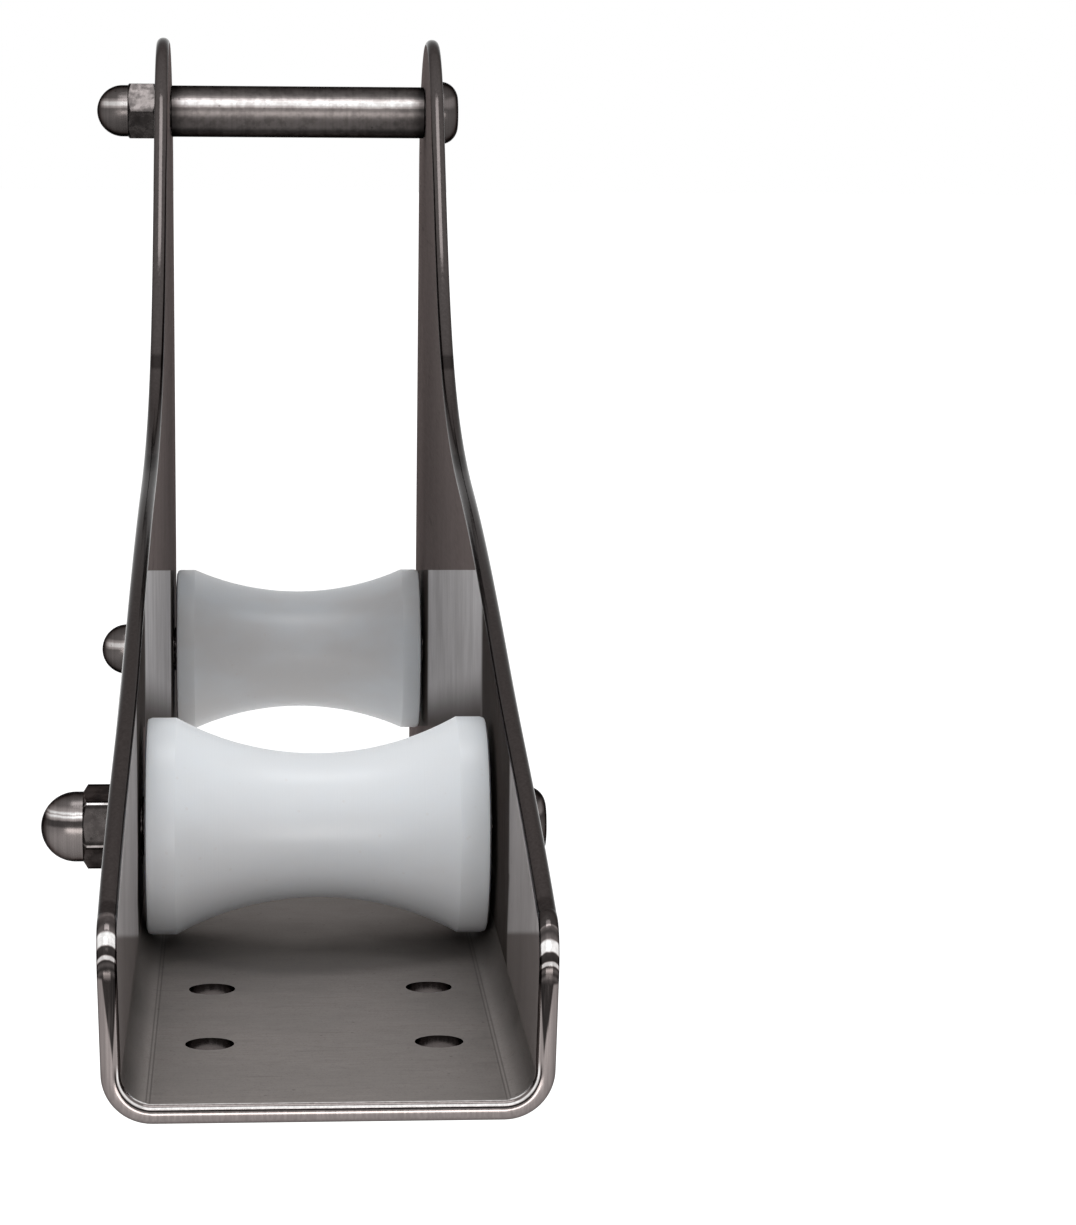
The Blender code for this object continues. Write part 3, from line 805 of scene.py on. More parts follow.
@dataclass(frozen=True)
class TurnedSteelFinish:
    """Stainless that was turned about an axis along X: nuts, heads, washers, tube and sleeves."""

    name: str
    axis: Vector
    # Painted reflection and highlight tones, by how far the surface faces upward; ends that face sideways
    # take the side tone.
    row: tuple[Flat, ...]
    side_tone: float = 0.12
    tint: Colour = (1.0, 0.890, 0.865)
    gloss: Flat = (0.24, 0.36)
    lines: float = 2500.0
    relief: float = 0.000003
    hexed: bool = False
    hex_turn: float = 0.0
    hex_end: float = HALF_OUTER + SEAT_GAP + 0.0088
    # Painted highlight on each hexagon corner and painted shade beside it, read from the middle of a flat to
    # its corner.
    hex_row: tuple[Flat, ...] = ()
    # Painted light on the hexagon, by how far it faces upward.
    hex_lit: tuple[Flat, ...] = (
        (-1.0, 0.75), (-0.65, 0.75), (-0.55, 0.35), (-0.40, 0.35), (-0.25, 0.55), (-0.05, 1.0),
        (0.80, 1.0), (0.90, 0.75), (1.0, 0.75),
    )
    # Where the painted shade towards the tube's ends, at the cheeks, starts and ends.
    fade: Flat | None = None
    grazing: float = 0.20

    def hex_tone(self, bench: NodeBench, up: object, cloud: object) -> bpy.types.NodeSocket:
        """Paint the hexagon's tone: mottled flats, a painted highlight on each corner and painted shade
        beside it.

        Args:
            bench: Bench on the material's tree.
            up: How far the surface faces upward.
            cloud: Mask of its mottling.

        Returns:
            The tone's socket.
        """
        _, y, z = bench.split(bench.place())
        around = bench.maths("ARCTAN2", bench.less(z, self.axis.z), bench.less(y, self.axis.y))
        part = bench.maths("FLOORED_MODULO", bench.less(around, self.hex_turn), SIXTH_TURN)
        corner = bench.size(bench.less(bench.maths("DIVIDE", part, SIXTH_TURN / 2), 1.0))
        across = bench.bands(bench.maths("MULTIPLY_ADD", corner, 2.0, -1.0), self.hex_row)
        tone = bench.times(across, bench.bands(up, self.hex_lit))
        return bench.times(tone, bench.spread(cloud, (0.0, 1.0), (1.1, 0.70)))

    def build(self) -> bpy.types.Material:
        """Make the material.

        Returns:
            The material.
        """
        material, bench, shader = new_material(self.name)
        turning = Turning().put(bench, AxisY=self.axis.y, AxisZ=self.axis.z, Lines=self.lines)
        smudges = Smudges().put(bench, Frequency=(320.0, 320.0, 320.0), Seed=self.axis.z * 40)
        facing = Facing().put(bench, Wave=0.07, Seed=self.axis.y)
        tool = bench.times(bench.plus(turning.outputs["Along"], turning.outputs["Rings"]), 0.5)
        up = facing.outputs["Up"]
        outward = bench.size(facing.outputs["Side"])
        # Painted reflections and highlights, read from the row by how far the surface faces upward.
        tone = bench.blend(bench.spread(outward, (0.62, 0.93)), bench.bands(up, self.row), self.side_tone)
        tone = bench.times(tone, bench.spread(tool, (0.3, 0.7), (1.08, 0.90)))
        out = bench.size(bench.split(bench.place())[0])
        if self.hexed:
            on_hex = bench.spread(out, (self.hex_end - 0.0001, self.hex_end + 0.0001), (1.0, 0.0))
            on_hex = bench.times(on_hex, bench.spread(outward, (0.5, 0.8), (1.0, 0.4)))
            tone = bench.blend(on_hex, tone, self.hex_tone(bench, up, smudges.outputs["Cloud"]))
        # Painted shade: the tone falls towards the ends, where the tube meets the cheeks.
        if self.fade:
            tone = bench.times(tone, bench.spread(out, self.fade, (1.0, 0.30)))
        tone = bench.times(tone, bench.spread(smudges.outputs["Pits"], (0.0, 1.0), (1.0, 0.6)))
        edge = EdgeWear().put(bench, Seed=self.axis.y).outputs["Edge"]
        tone = bench.times(tone, bench.spread(edge, (0.0, 1.0), (1.0, 1.5)))
        rough = bench.spread(smudges.outputs["Cloud"], (0.0, 1.0), self.gloss)
        set_steel(bench, shader, bench.painted(tone, self.tint), rough, self.grazing)
        add_bump(bench, shader, tool, self.relief)
        return material


def arc(centre: Flat, radius: float, start: float, end: float, steps: int) -> list[Flat]:
    """Return points on an arc.

    Args:
        centre: Its centre.
        radius: Its radius.
        start: Angle of its first point.
        end: Angle of its last point.
        steps: Number of steps between them.

    Returns:
        The points, both ends included.
    """
    angles = [start + (end - start) * step / steps for step in range(steps + 1)]
    return [(centre[0] + radius * math.cos(a), centre[1] + radius * math.sin(a)) for a in angles]


def bezier(start: Flat, start_handle: Flat, end_handle: Flat, end: Flat, steps: int) -> list[Flat]:
    """Return points inside a cubic curve.

    Args:
        start: Its first point, which is left out.
        start_handle: Handle of the first point.
        end_handle: Handle of the last point.
        end: Its last point, which is left out.
        steps: Number of steps along it.

    Returns:
        The points between its ends.
    """
    points = []
    for step in range(1, steps):
        t = step / steps
        weights = ((1 - t) ** 3, 3 * t * (1 - t) ** 2, 3 * t ** 2 * (1 - t), t ** 3)
        corners = (start, start_handle, end_handle, end)
        points.append(tuple(sum(w * c[k] for w, c in zip(weights, corners)) for k in (0, 1)))
    return points


def placed(name: str, data: bpy.types.ID) -> bpy.types.Object:
    """Return a new object that holds some data, linked to the scene."""
    item = bpy.data.objects.new(name, data)
    bpy.context.scene.collection.objects.link(item)
    return item


def closed_mesh(name: str, shape: bmesh.types.BMesh) -> bpy.types.Mesh:
    """Turn a closed shape into a mesh with its faces outward, and free the shape.

    Args:
        name: The mesh's name.
        shape: The closed shape.

    Returns:
        The mesh.
    """
    bmesh.ops.recalc_face_normals(shape, faces=shape.faces)
    mesh = bpy.data.meshes.new(name)
    shape.to_mesh(mesh)
    shape.free()
    return mesh


def prism(name: str, low: Sequence[Point], high: Sequence[Point]) -> bpy.types.Object:
    """Make a closed prism between two matching outlines.

    Args:
        name: The object's name.
        low: One outline.
        high: The other, point for point.

    Returns:
        The object, linked to the scene.
    """
    shape = bmesh.new()
    near = [shape.verts.new(point) for point in low]
    far = [shape.verts.new(point) for point in high]
    shape.faces.new(near)
    shape.faces.new(far)
    for k in range(len(near)):
        j = (k + 1) % len(near)
        shape.faces.new((near[k], near[j], far[j], far[k]))
    return placed(name, closed_mesh(name, shape))


def carry_out(item: bpy.types.Object) -> None:
    """Carry out an object's modifiers on its mesh, and clear them.

    Args:
        item: The object.
    """
    bpy.context.view_layer.update()
    mesh = bpy.data.meshes.new_from_object(item.evaluated_get(bpy.context.evaluated_depsgraph_get()))
    mesh.name = item.name
    item.modifiers.clear()
    item.data = mesh


def cut(item: bpy.types.Object, cutters: Sequence[bpy.types.Object]) -> None:
    """Cut an object by others, which are used up.

    Args:
        item: The object that is cut.
        cutters: Closed shapes to take away.
    """
    for cutter in cutters:
        modifier = item.modifiers.new("Cut", "BOOLEAN")
        modifier.operation = "DIFFERENCE"
        modifier.solver = "EXACT"
        modifier.object = cutter
    carry_out(item)
    for cutter in cutters:
        bpy.data.objects.remove(cutter, do_unlink=True)


def revolve(
    name: str, rings: Sequence[Ring], centre: Vector, closed: bool, steps: int = SECTION_STEPS
) -> bpy.types.Object:
    """Make a shape of rings about an axis along X.

    Args:
        name: The object's name.
        rings: Each gives its X and radius at an angle about the axis.
        centre: A point on the axis.
        closed: Whether the last ring joins the first, as on a tube.
        steps: Number of points in a ring.

    Returns:
        The object, linked to the scene.
    """
    shape = bmesh.new()
    loops = []
    for ring in rings:
        samples = [(FULL_TURN * k / steps, *ring(FULL_TURN * k / steps)) for k in range(steps)]
        if max(radius for _, _, radius in samples) < 1e-7:
            samples = samples[:1]
        loops.append([
            shape.verts.new(centre + Vector((x, radius * math.cos(a), radius * math.sin(a))))
            for a, x, radius in samples
        ])
    pairs = list(zip(loops, loops[1:]))
    if closed:
        pairs.append((loops[-1], loops[0]))
    for near, far in pairs:
        for k in range(steps):
            j = (k + 1) % steps
            corners = [near[k % len(near)], near[j % len(near)], far[j % len(far)], far[k % len(far)]]
            shape.faces.new(list(dict.fromkeys(corners)))
    mesh = closed_mesh(name, shape)
    mesh.shade_smooth()
    mesh.set_sharp_from_angle(angle=CREASE)
    return placed(name, mesh)


def round_rings(*points: Flat) -> list[Ring]:
    """Return plain round rings.

    Args:
        points: The X and radius of each.

    Returns:
        The rings.
    """
    return [lambda angle, point=point: point for point in points]


def hollow_rings(far: float, near: float, rim: float, ease: float = 0.0003) -> list[Ring]:
    """Return the rings of a tube or a washer, bored for a bolt.

    Args:
        far: X of its starboard end.
        near: X of its port end.
        rim: Its outer radius.
        ease: What is taken off its outer edges.

    Returns:
        The rings.
    """
    return round_rings(
        (far, rim - ease), (far - ease, rim), (near + ease, rim), (near, rim - ease),
        (near, BORE_RADIUS), (far, BORE_RADIUS),
    )


def hex_radius(angle: float, across: float, turn: float, rounding: float = 0.00008) -> float:
    """Return the radius of a hexagon with slightly eased corners.

    Args:
        angle: Angle about its axis.
        across: Distance across its flats.
        turn: Angle of one corner.
        rounding: What is taken off each corner.

    Returns:
        The radius at that angle.
    """
    away = (angle - turn) % SIXTH_TURN - SIXTH_TURN / 2
    return min(across / 2 / math.cos(away), across / math.sqrt(3) - rounding)


def finish_piece(
    item: bpy.types.Object, node: str, body: str, materials: Sequence[bpy.types.Material]
) -> bpy.types.Object:
    """Dress a piece and put it in the place of its solid.

    Args:
        item: The piece.
        node: The solid that it stands for.
        body: The body that it moves with.
        materials: Its materials, in slot order.

    Returns:
        The piece.
    """
    for material in materials:
        item.data.materials.append(material)
    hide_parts(node)
    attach(item, body)
    LOG.info("%s: %d faces, stands for %s on %s", item.name, len(item.data.polygons), node, body)
    return item


@dataclass
class ChannelFrame:
    """The one bent plate: floor, cheeks, horns, bores and deck holes."""

    bend_radius: float = 0.0060
    edge_round: float = 0.0019
    edge_steps: int = 8
    sharp_from: float = math.radians(40)
    sliver: float = 0.0001
    splay: float = 0.028
    # Lines that bound the painted reflections of the rollers on the cheeks.
    reflection_top: Flat = (0.0987, -0.1320)
    reflection_low: Flat = (0.0658, -0.1737)
    reflection_start: float = 0.0950
    floor_length: float = 0.2000
    aft_top_corner: float = 0.0115
    relief_radius: float = 0.0080
    relief_rise: float = 0.0020
    hole_radius: float = 0.0050
    hole_half_spacing: float = 0.0235
    aft_height: float = 0.0400
    saddle: Flat = (0.2900, 0.0925)
    aft_slope: float = 0.225
    saddle_slope: float = 0.100
    sweep_reach: float = 0.1200
    horn_reach: float = 0.0650
    horn: Flat = (0.4960, 0.1640)
    horn_radius: float = 0.0465
    horn_back: float = math.radians(142.6)
    horn_front: float = math.radians(12.0)
    nose: Flat = (0.5780, -0.0330)
    nose_radius: float = 0.0290
    nose_top: float = math.radians(50.0)
    throat_behind_nose: float = 0.0220
    throat_height: float = 0.0400
    throat_reach: float = 0.0280
    belly_reach: float = 0.1500
    keel_reach: float = 0.1200
    keel_start: float = 0.0350
    margin: float = 0.0100
    touch: float = 0.0001
    square_on: float = 0.97
    arc_steps: int = 32
    curve_steps: int = 28
    bore_steps: int = 72

    def station(self, length: float) -> float:
        """Return the Y of a length measured forward from the aft end."""
        return AFT_END + length

    def lower_outline(self) -> list[Flat]:
        """Return the outline from the aft lower corner round the nose to the throat.

        Returns:
            Points as (Y, Z).
        """
        keel = (self.station(self.floor_length + self.relief_radius + self.keel_start), 0.0)
        nose = (self.station(self.nose[0]), self.nose[1])
        bottom = (nose[0], nose[1] - self.nose_radius)
        points = [(AFT_END, 0.0), keel]
        ahead, behind = (keel[0] + self.keel_reach, 0.0), (bottom[0] - self.belly_reach, bottom[1])
        points += bezier(keel, ahead, behind, bottom, self.curve_steps)
        points += arc(nose, self.nose_radius, -QUARTER, self.nose_top, self.arc_steps)
        top = points[-1]
        throat = (self.station(self.nose[0] - self.throat_behind_nose), self.throat_height)
        reach = self.throat_reach
        lean = (top[0] - reach * math.sin(self.nose_top), top[1] + reach * math.cos(self.nose_top))
        points += bezier(top, lean, (throat[0], throat[1] - reach), throat, self.curve_steps)
        points.append(throat)
        return points

    def upper_outline(self) -> list[Flat]:
        """Return the outline from the horn's front back down to the aft top corner.

        Returns:
            Points as (Y, Z).
        """
        centre = (self.station(self.horn[0]), self.horn[1])
        points = arc(centre, self.horn_radius, self.horn_front, self.horn_back, self.arc_steps)
        back = points[-1]
        down = (
            back[0] - self.horn_reach * math.sin(self.horn_back),
            back[1] + self.horn_reach * math.cos(self.horn_back),
        )
        saddle = (self.station(self.saddle[0]), self.saddle[1])
        ahead = (saddle[0] + self.sweep_reach, saddle[1] + self.sweep_reach * self.saddle_slope)
        points += bezier(back, down, ahead, saddle, self.curve_steps)
        points.append(saddle)
        reach = (self.saddle[0] - self.aft_top_corner) / 3
        shoulder = (AFT_END + self.aft_top_corner, self.aft_height)
        points += bezier(
            saddle,
            (saddle[0] - reach, saddle[1] - reach * self.saddle_slope),
            (shoulder[0] + reach, shoulder[1] + reach * self.aft_slope),
            shoulder,
            self.curve_steps,
        )
        corner = (shoulder[0], self.aft_height - self.aft_top_corner)
        return points + arc(corner, self.aft_top_corner, QUARTER, math.pi, self.arc_steps // 2)

    def across(self, name: str, points: Sequence[Flat], half: float) -> bpy.types.Object:
        """Return a prism of a side view, as wide as twice the half width."""
        return prism(name, [(-half, y, z) for y, z in points], [(half, y, z) for y, z in points])

    def along(self, name: str, points: Sequence[Flat], start: float, end: float) -> bpy.types.Object:
        """Return a prism of an end view, between two stations."""
        return prism(name, [(x, start, z) for x, z in points], [(x, end, z) for x, z in points])

    def shaping_cutters(self) -> list[bpy.types.Object]:
        """Make the cutters that hollow the channel, open it in front and round its bends.

        Returns:
            The cutters.
        """
        steps = self.arc_steps // 2
        top = self.horn[1] + self.horn_radius + self.margin
        bend = HALF_INNER - self.bend_radius
        height = PLATE + self.bend_radius
        trough = [(-HALF_INNER, top)]
        trough += arc((-bend, height), self.bend_radius, math.pi, 1.5 * math.pi, steps)
        trough += arc((bend, height), self.bend_radius, 1.5 * math.pi, FULL_TURN, steps)
        trough.append((HALF_INNER, top))
        start = AFT_END - self.margin
        front = self.station(self.nose[0] + self.nose_radius) + self.margin
        floor_end = self.station(self.floor_length)
        outer = self.bend_radius + PLATE
        lowest = self.nose[1] - self.nose_radius - self.margin
        mouth = [(-HALF_INNER, lowest), (HALF_INNER, lowest)]
        mouth += [(HALF_INNER, outer + self.margin), (-HALF_INNER, outer + self.margin)]
        cutters = [
            self.along("trough", trough, start, front),
            self.along("mouth", mouth, floor_end, front),
        ]
        for side in (-1, 1):
            middle = HALF_OUTER - outer
            curve = arc((middle, outer), outer, -QUARTER, 0.0, steps)
            rim = [(HALF_OUTER + self.margin, -self.margin), (middle, -self.margin), *curve]
            rim.append((HALF_OUTER + self.margin, outer))
            cutters.append(self.along("bend", [(side * x, z) for x, z in rim], start, floor_end))
        relief = arc(
            (floor_end + self.relief_radius / 2, outer + self.relief_rise - self.relief_radius),
            self.relief_radius, 0.0, FULL_TURN, self.bore_steps,
        )[:-1]
        cutters.append(self.across("relief", relief, HALF_OUTER + self.margin))
        return cutters

    def hole_places(self) -> list[Vector]:
        """Return the centres of the four deck holes."""
        half = self.hole_half_spacing
        return [Vector((x * half, y * half, PLATE / 2)) for x in (-1, 1) for y in (-1, 1)]

    def bore_cutters(self) -> list[bpy.types.Object]:
        """Make the cutters of the three cross bores and the four deck holes.

        Returns:
            The cutters.
        """
        cutters = []
        for place in (AFT_AXLE, FORE_AXLE, BAIL_AXIS):
            ring = arc((place.y, place.z), BORE_RADIUS, 0.0, FULL_TURN, self.bore_steps)[:-1]
            cutters.append(self.across("bore", ring, HALF_OUTER + self.margin))
        for place in self.hole_places():
            ring = arc((place.x, place.y), self.hole_radius, 0.0, FULL_TURN, self.bore_steps)[:-1]
            low = [(x, y, -self.margin) for x, y in ring]
            high = [(x, y, PLATE + self.margin) for x, y in ring]
            cutters.append(prism("hole", low, high))
        return cutters

    def mark_edges(self, mesh: bpy.types.Mesh) -> None:
        """Mark the edges to be rounded by a weight, and close slivers that would stop the rounding.

        Args:
            mesh: The plate's mesh.
        """
        shape = bmesh.new()
        shape.from_mesh(mesh)
        bmesh.ops.remove_doubles(shape, verts=shape.verts, dist=self.sliver)
        weight = shape.edges.layers.float.new("bevel_weight_edge")
        relief = Vector((self.station(self.floor_length) + self.relief_radius / 2,
                         self.bend_radius + PLATE + self.relief_rise - self.relief_radius))
        for edge in shape.edges:
            clear = all((corner.co.yz - relief).length > self.relief_radius + 2 * self.edge_round
                        for corner in edge.verts)
            if clear and len(edge.link_faces) == 2 and edge.calc_face_angle() > self.sharp_from:
                edge[weight] = 1.0
        shape.to_mesh(mesh)
        shape.free()

    def round_edges(self, item: bpy.types.Object) -> None:
        """Round the plate's cut edges, apart from those in the relief notches.

        Args:
            item: The plate.
        """
        self.mark_edges(item.data)
        bevel = item.modifiers.new("Rounded edges", "BEVEL")
        bevel.width = self.edge_round
        bevel.segments = self.edge_steps
        bevel.limit_method = "WEIGHT"
        bevel.use_clamp_overlap = False
        carry_out(item)

    def splayed(self, mesh: bpy.types.Mesh) -> None:
        """Lean the cheeks' aft ends a little outward, as the press left them.

        Args:
            mesh: The plate's mesh.
        """
        for corner in mesh.vertices:
            x, y, z = corner.co
            ahead = min(max((y - AFT_END) / (AFT_AXLE.y - 0.008 - AFT_END), 0.0), 1.0)
            share = 1.0 - ahead * ahead * (3.0 - 2.0 * ahead)
            rise = max(z - PLATE - self.bend_radius, 0.0)
            corner.co.x = x + math.copysign(self.splay * share * rise, x) if abs(x) > 0.03 else x

    def split_cheeks(self, mesh: bpy.types.Mesh) -> None:
        """Part the cheeks' inner faces along the lines that bound the painted reflections of the rollers.

        Args:
            mesh: The plate's mesh.
        """
        shape = bmesh.new()
        shape.from_mesh(mesh)
        cuts = [((0.0, 0.0, height), (0.0, -slope, 1.0)) for height, slope in (self.reflection_top, self.reflection_low)]
        for place, normal in cuts + [((0.0, self.reflection_start, 0.0), (0.0, 1.0, 0.0))]:
            faces = [
                face for face in shape.faces if abs(face.normal.x) > self.square_on
                and abs(abs(face.calc_center_median().x) - HALF_INNER) < self.touch
            ]
            edges = {edge for face in faces for edge in face.edges}
            corners = {corner for face in faces for corner in face.verts}
            bmesh.ops.bisect_plane(shape, geom=[*faces, *edges, *corners], dist=0.00001, plane_co=place,
                                   plane_no=normal)
        shape.to_mesh(mesh)
        shape.free()

    def cheek_zone(self, corners: Sequence[Vector]) -> Zone:
        """Say whether a part of a cheek's inner face lies in the zone of the painted roller reflections.

        Args:
            corners: The corners of the part.

        Returns:
            Its finish.
        """
        above, below = (
            max((corner.z - height - slope * corner.y for corner in corners), key=abs)
            for height, slope in (self.reflection_top, self.reflection_low)
        )
        ahead = max((corner.y - self.reflection_start for corner in corners), key=abs)
        return Zone.HORN if above > 0.0 or (below < 0.0 < ahead) else Zone.CHEEK

    def zone(self, mesh: bpy.types.Mesh, face: bpy.types.MeshPolygon) -> Zone:
        """Say which finish a face has.

        Args:
            mesh: The plate's mesh.
            face: One of its faces.

        Returns:
            Its finish.
        """
        place, normal = face.center, face.normal
        if any((place - hole).xy.length < self.hole_radius - 0.00001 for hole in self.hole_places()):
            return Zone.HOLE
        side = abs(place.x)
        bend = math.hypot(side - HALF_INNER + self.bend_radius, PLATE + self.bend_radius - place.z)
        bend_start, bend_top = HALF_INNER - self.bend_radius, PLATE + self.bend_radius
        on_bend = abs(normal.y) < 0.02 and side > bend_start and 0.0 <= place.z < bend_top
        upright = abs(normal.x) > self.square_on
        for applies, away, found in (
            (on_bend, bend - self.bend_radius, Zone.FLOOR),
            (on_bend, bend - self.bend_radius - PLATE, Zone.OUTSIDE),
            (upright, side - HALF_INNER, None),
            (upright, side - HALF_OUTER, Zone.OUTSIDE),
            (normal.z > self.square_on, place.z - PLATE, Zone.FLOOR),
            (normal.z < -self.square_on, place.z, Zone.OUTSIDE),
        ):
            if applies and abs(away) < self.touch and found is not None:
                return found
            if applies and abs(away) < self.touch:
                return self.cheek_zone([mesh.vertices[corner].co for corner in face.vertices])
        return Zone.EDGE

    def materials(self) -> list[bpy.types.Material]:
        """Return the plate's materials, in the order of Zone."""
        finishes = (
            RimFinish("plate_rim"),
            PlateFinish("plate_floor", (0.305, 0.281, 0.269), (0.263, 0.240, 0.229), (0.42, 0.54),
                        (160.0, 2600.0, 2600.0), relief=0.000005, grazing=0.30, pits=0.6, floor_lines_and_shade=True,
                        speckle=0.30, seed=2.0),
            CheekFinish("plate_cheek"),
            PlateFinish("plate_outside", (0.30, 0.285, 0.275), (0.24, 0.228, 0.222), (0.20, 0.34),
                        (1500.0, 60.0, 1500.0), pits=0.3, wear=0.2, seed=5.0),
            # Deck hole walls: near black, painted shade inside the holes, with painted glints.
            PlateFinish("plate_hole", (0.006, 0.005, 0.0045), (0.004, 0.0034, 0.003), (0.30, 0.50),
                        (1400.0, 1400.0, 60.0), relief=0.00002, grazing=0.0, pits=0.5, glints=0.35, seed=6.0),
            PlateFinish("plate_horn", (0.165, 0.139, 0.134), (0.135, 0.113, 0.109), (0.78, 0.90),
                        (1400.0, 60.0, 1400.0), relief=0.000001, grazing=0.10, pits=0.3, seed=8.0),
        )
        return [finish.build() for finish in finishes]

    def build(self) -> bpy.types.Object:
        """Make, dress and seat the plate.

        Returns:
            The piece.
        """
        item = self.across("bent_plate", self.lower_outline() + self.upper_outline(), HALF_OUTER)
        cut(item, self.shaping_cutters())
        self.round_edges(item)
        cut(item, self.bore_cutters())
        self.split_cheeks(item.data)
        zones = [self.zone(item.data, face) for face in item.data.polygons]
        self.splayed(item.data)
        item.data.shade_smooth()
        item.data.set_sharp_from_angle(angle=math.radians(38))
        item.modifiers.new("Even shading", "WEIGHTED_NORMAL").keep_sharp = True
        carry_out(item)
        for face, zone in zip(item.data.polygons, zones):
            face.material_index = zone.value
        return finish_piece(item, "channel_frame", "frame", self.materials())


@dataclass
class HourglassRoller:
    """A turned nylon roller with flat lands at its ends and a hollow waist."""

    name: str
    centre: Vector
    flange: float
    waist: float
    land: float
    finish: NylonFinish
    length: float = 0.0775
    chamfer: float = 0.0013
    bore: float = 0.0073
    bore_ease: float = 0.0006
    steps: int = 160
    hollow_steps: int = 64

    def rings(self) -> list[Ring]:
        """Return the rings of the roller's section.

        Returns:
            The rings, from the starboard rim round to the bore.
        """
        half, rim, soft = self.length / 2, self.flange / 2, self.chamfer
        chord = half - self.land
        sag = (self.flange - self.waist) / 2
        hollow = (chord ** 2 + sag ** 2) / (2 * sag)
        widest = math.asin(chord / hollow)
        points = [(half, rim - soft), (half - 0.3 * soft, rim - 0.25 * soft), (half - soft, rim)]
        for step in range(self.hollow_steps + 1):
            angle = widest * (1 - 2 * step / self.hollow_steps)
            points.append((hollow * math.sin(angle), self.waist / 2 + hollow * (1 - math.cos(angle))))
        points += [(soft - half, rim), (0.3 * soft - half, rim - 0.25 * soft), (-half, rim - soft)]
        points += [(-half, self.bore + self.bore_ease), (self.bore_ease - half, self.bore)]
        points += [(half - self.bore_ease, self.bore), (half, self.bore + self.bore_ease)]
        return round_rings(*points)

    def build(self) -> bpy.types.Object:
        """Make, dress and seat the roller.

        Returns:
            The piece.
        """
        item = revolve("nylon_" + self.name, self.rings(), self.centre, closed=True, steps=self.steps)
        return finish_piece(item, self.name, self.name, [self.finish.build()])


@dataclass
class ClampedTube:
    """A tube on a cross bolt, clamped between the cheeks."""

    name: str
    centre: Vector
    diameter: float
    slot: Slot
    finish: TurnedSteelFinish
    half: float = HALF_INNER - SEAT_GAP

    def build(self) -> bpy.types.Object:
        """Make, dress and seat the tube.

        Returns:
            The piece.
        """
        rings = hollow_rings(self.half, -self.half, self.diameter / 2)
        item = revolve("turned_" + self.name, rings, self.centre, closed=True)
        return finish_piece(item, self.name, "frame", [self.finish.build()])


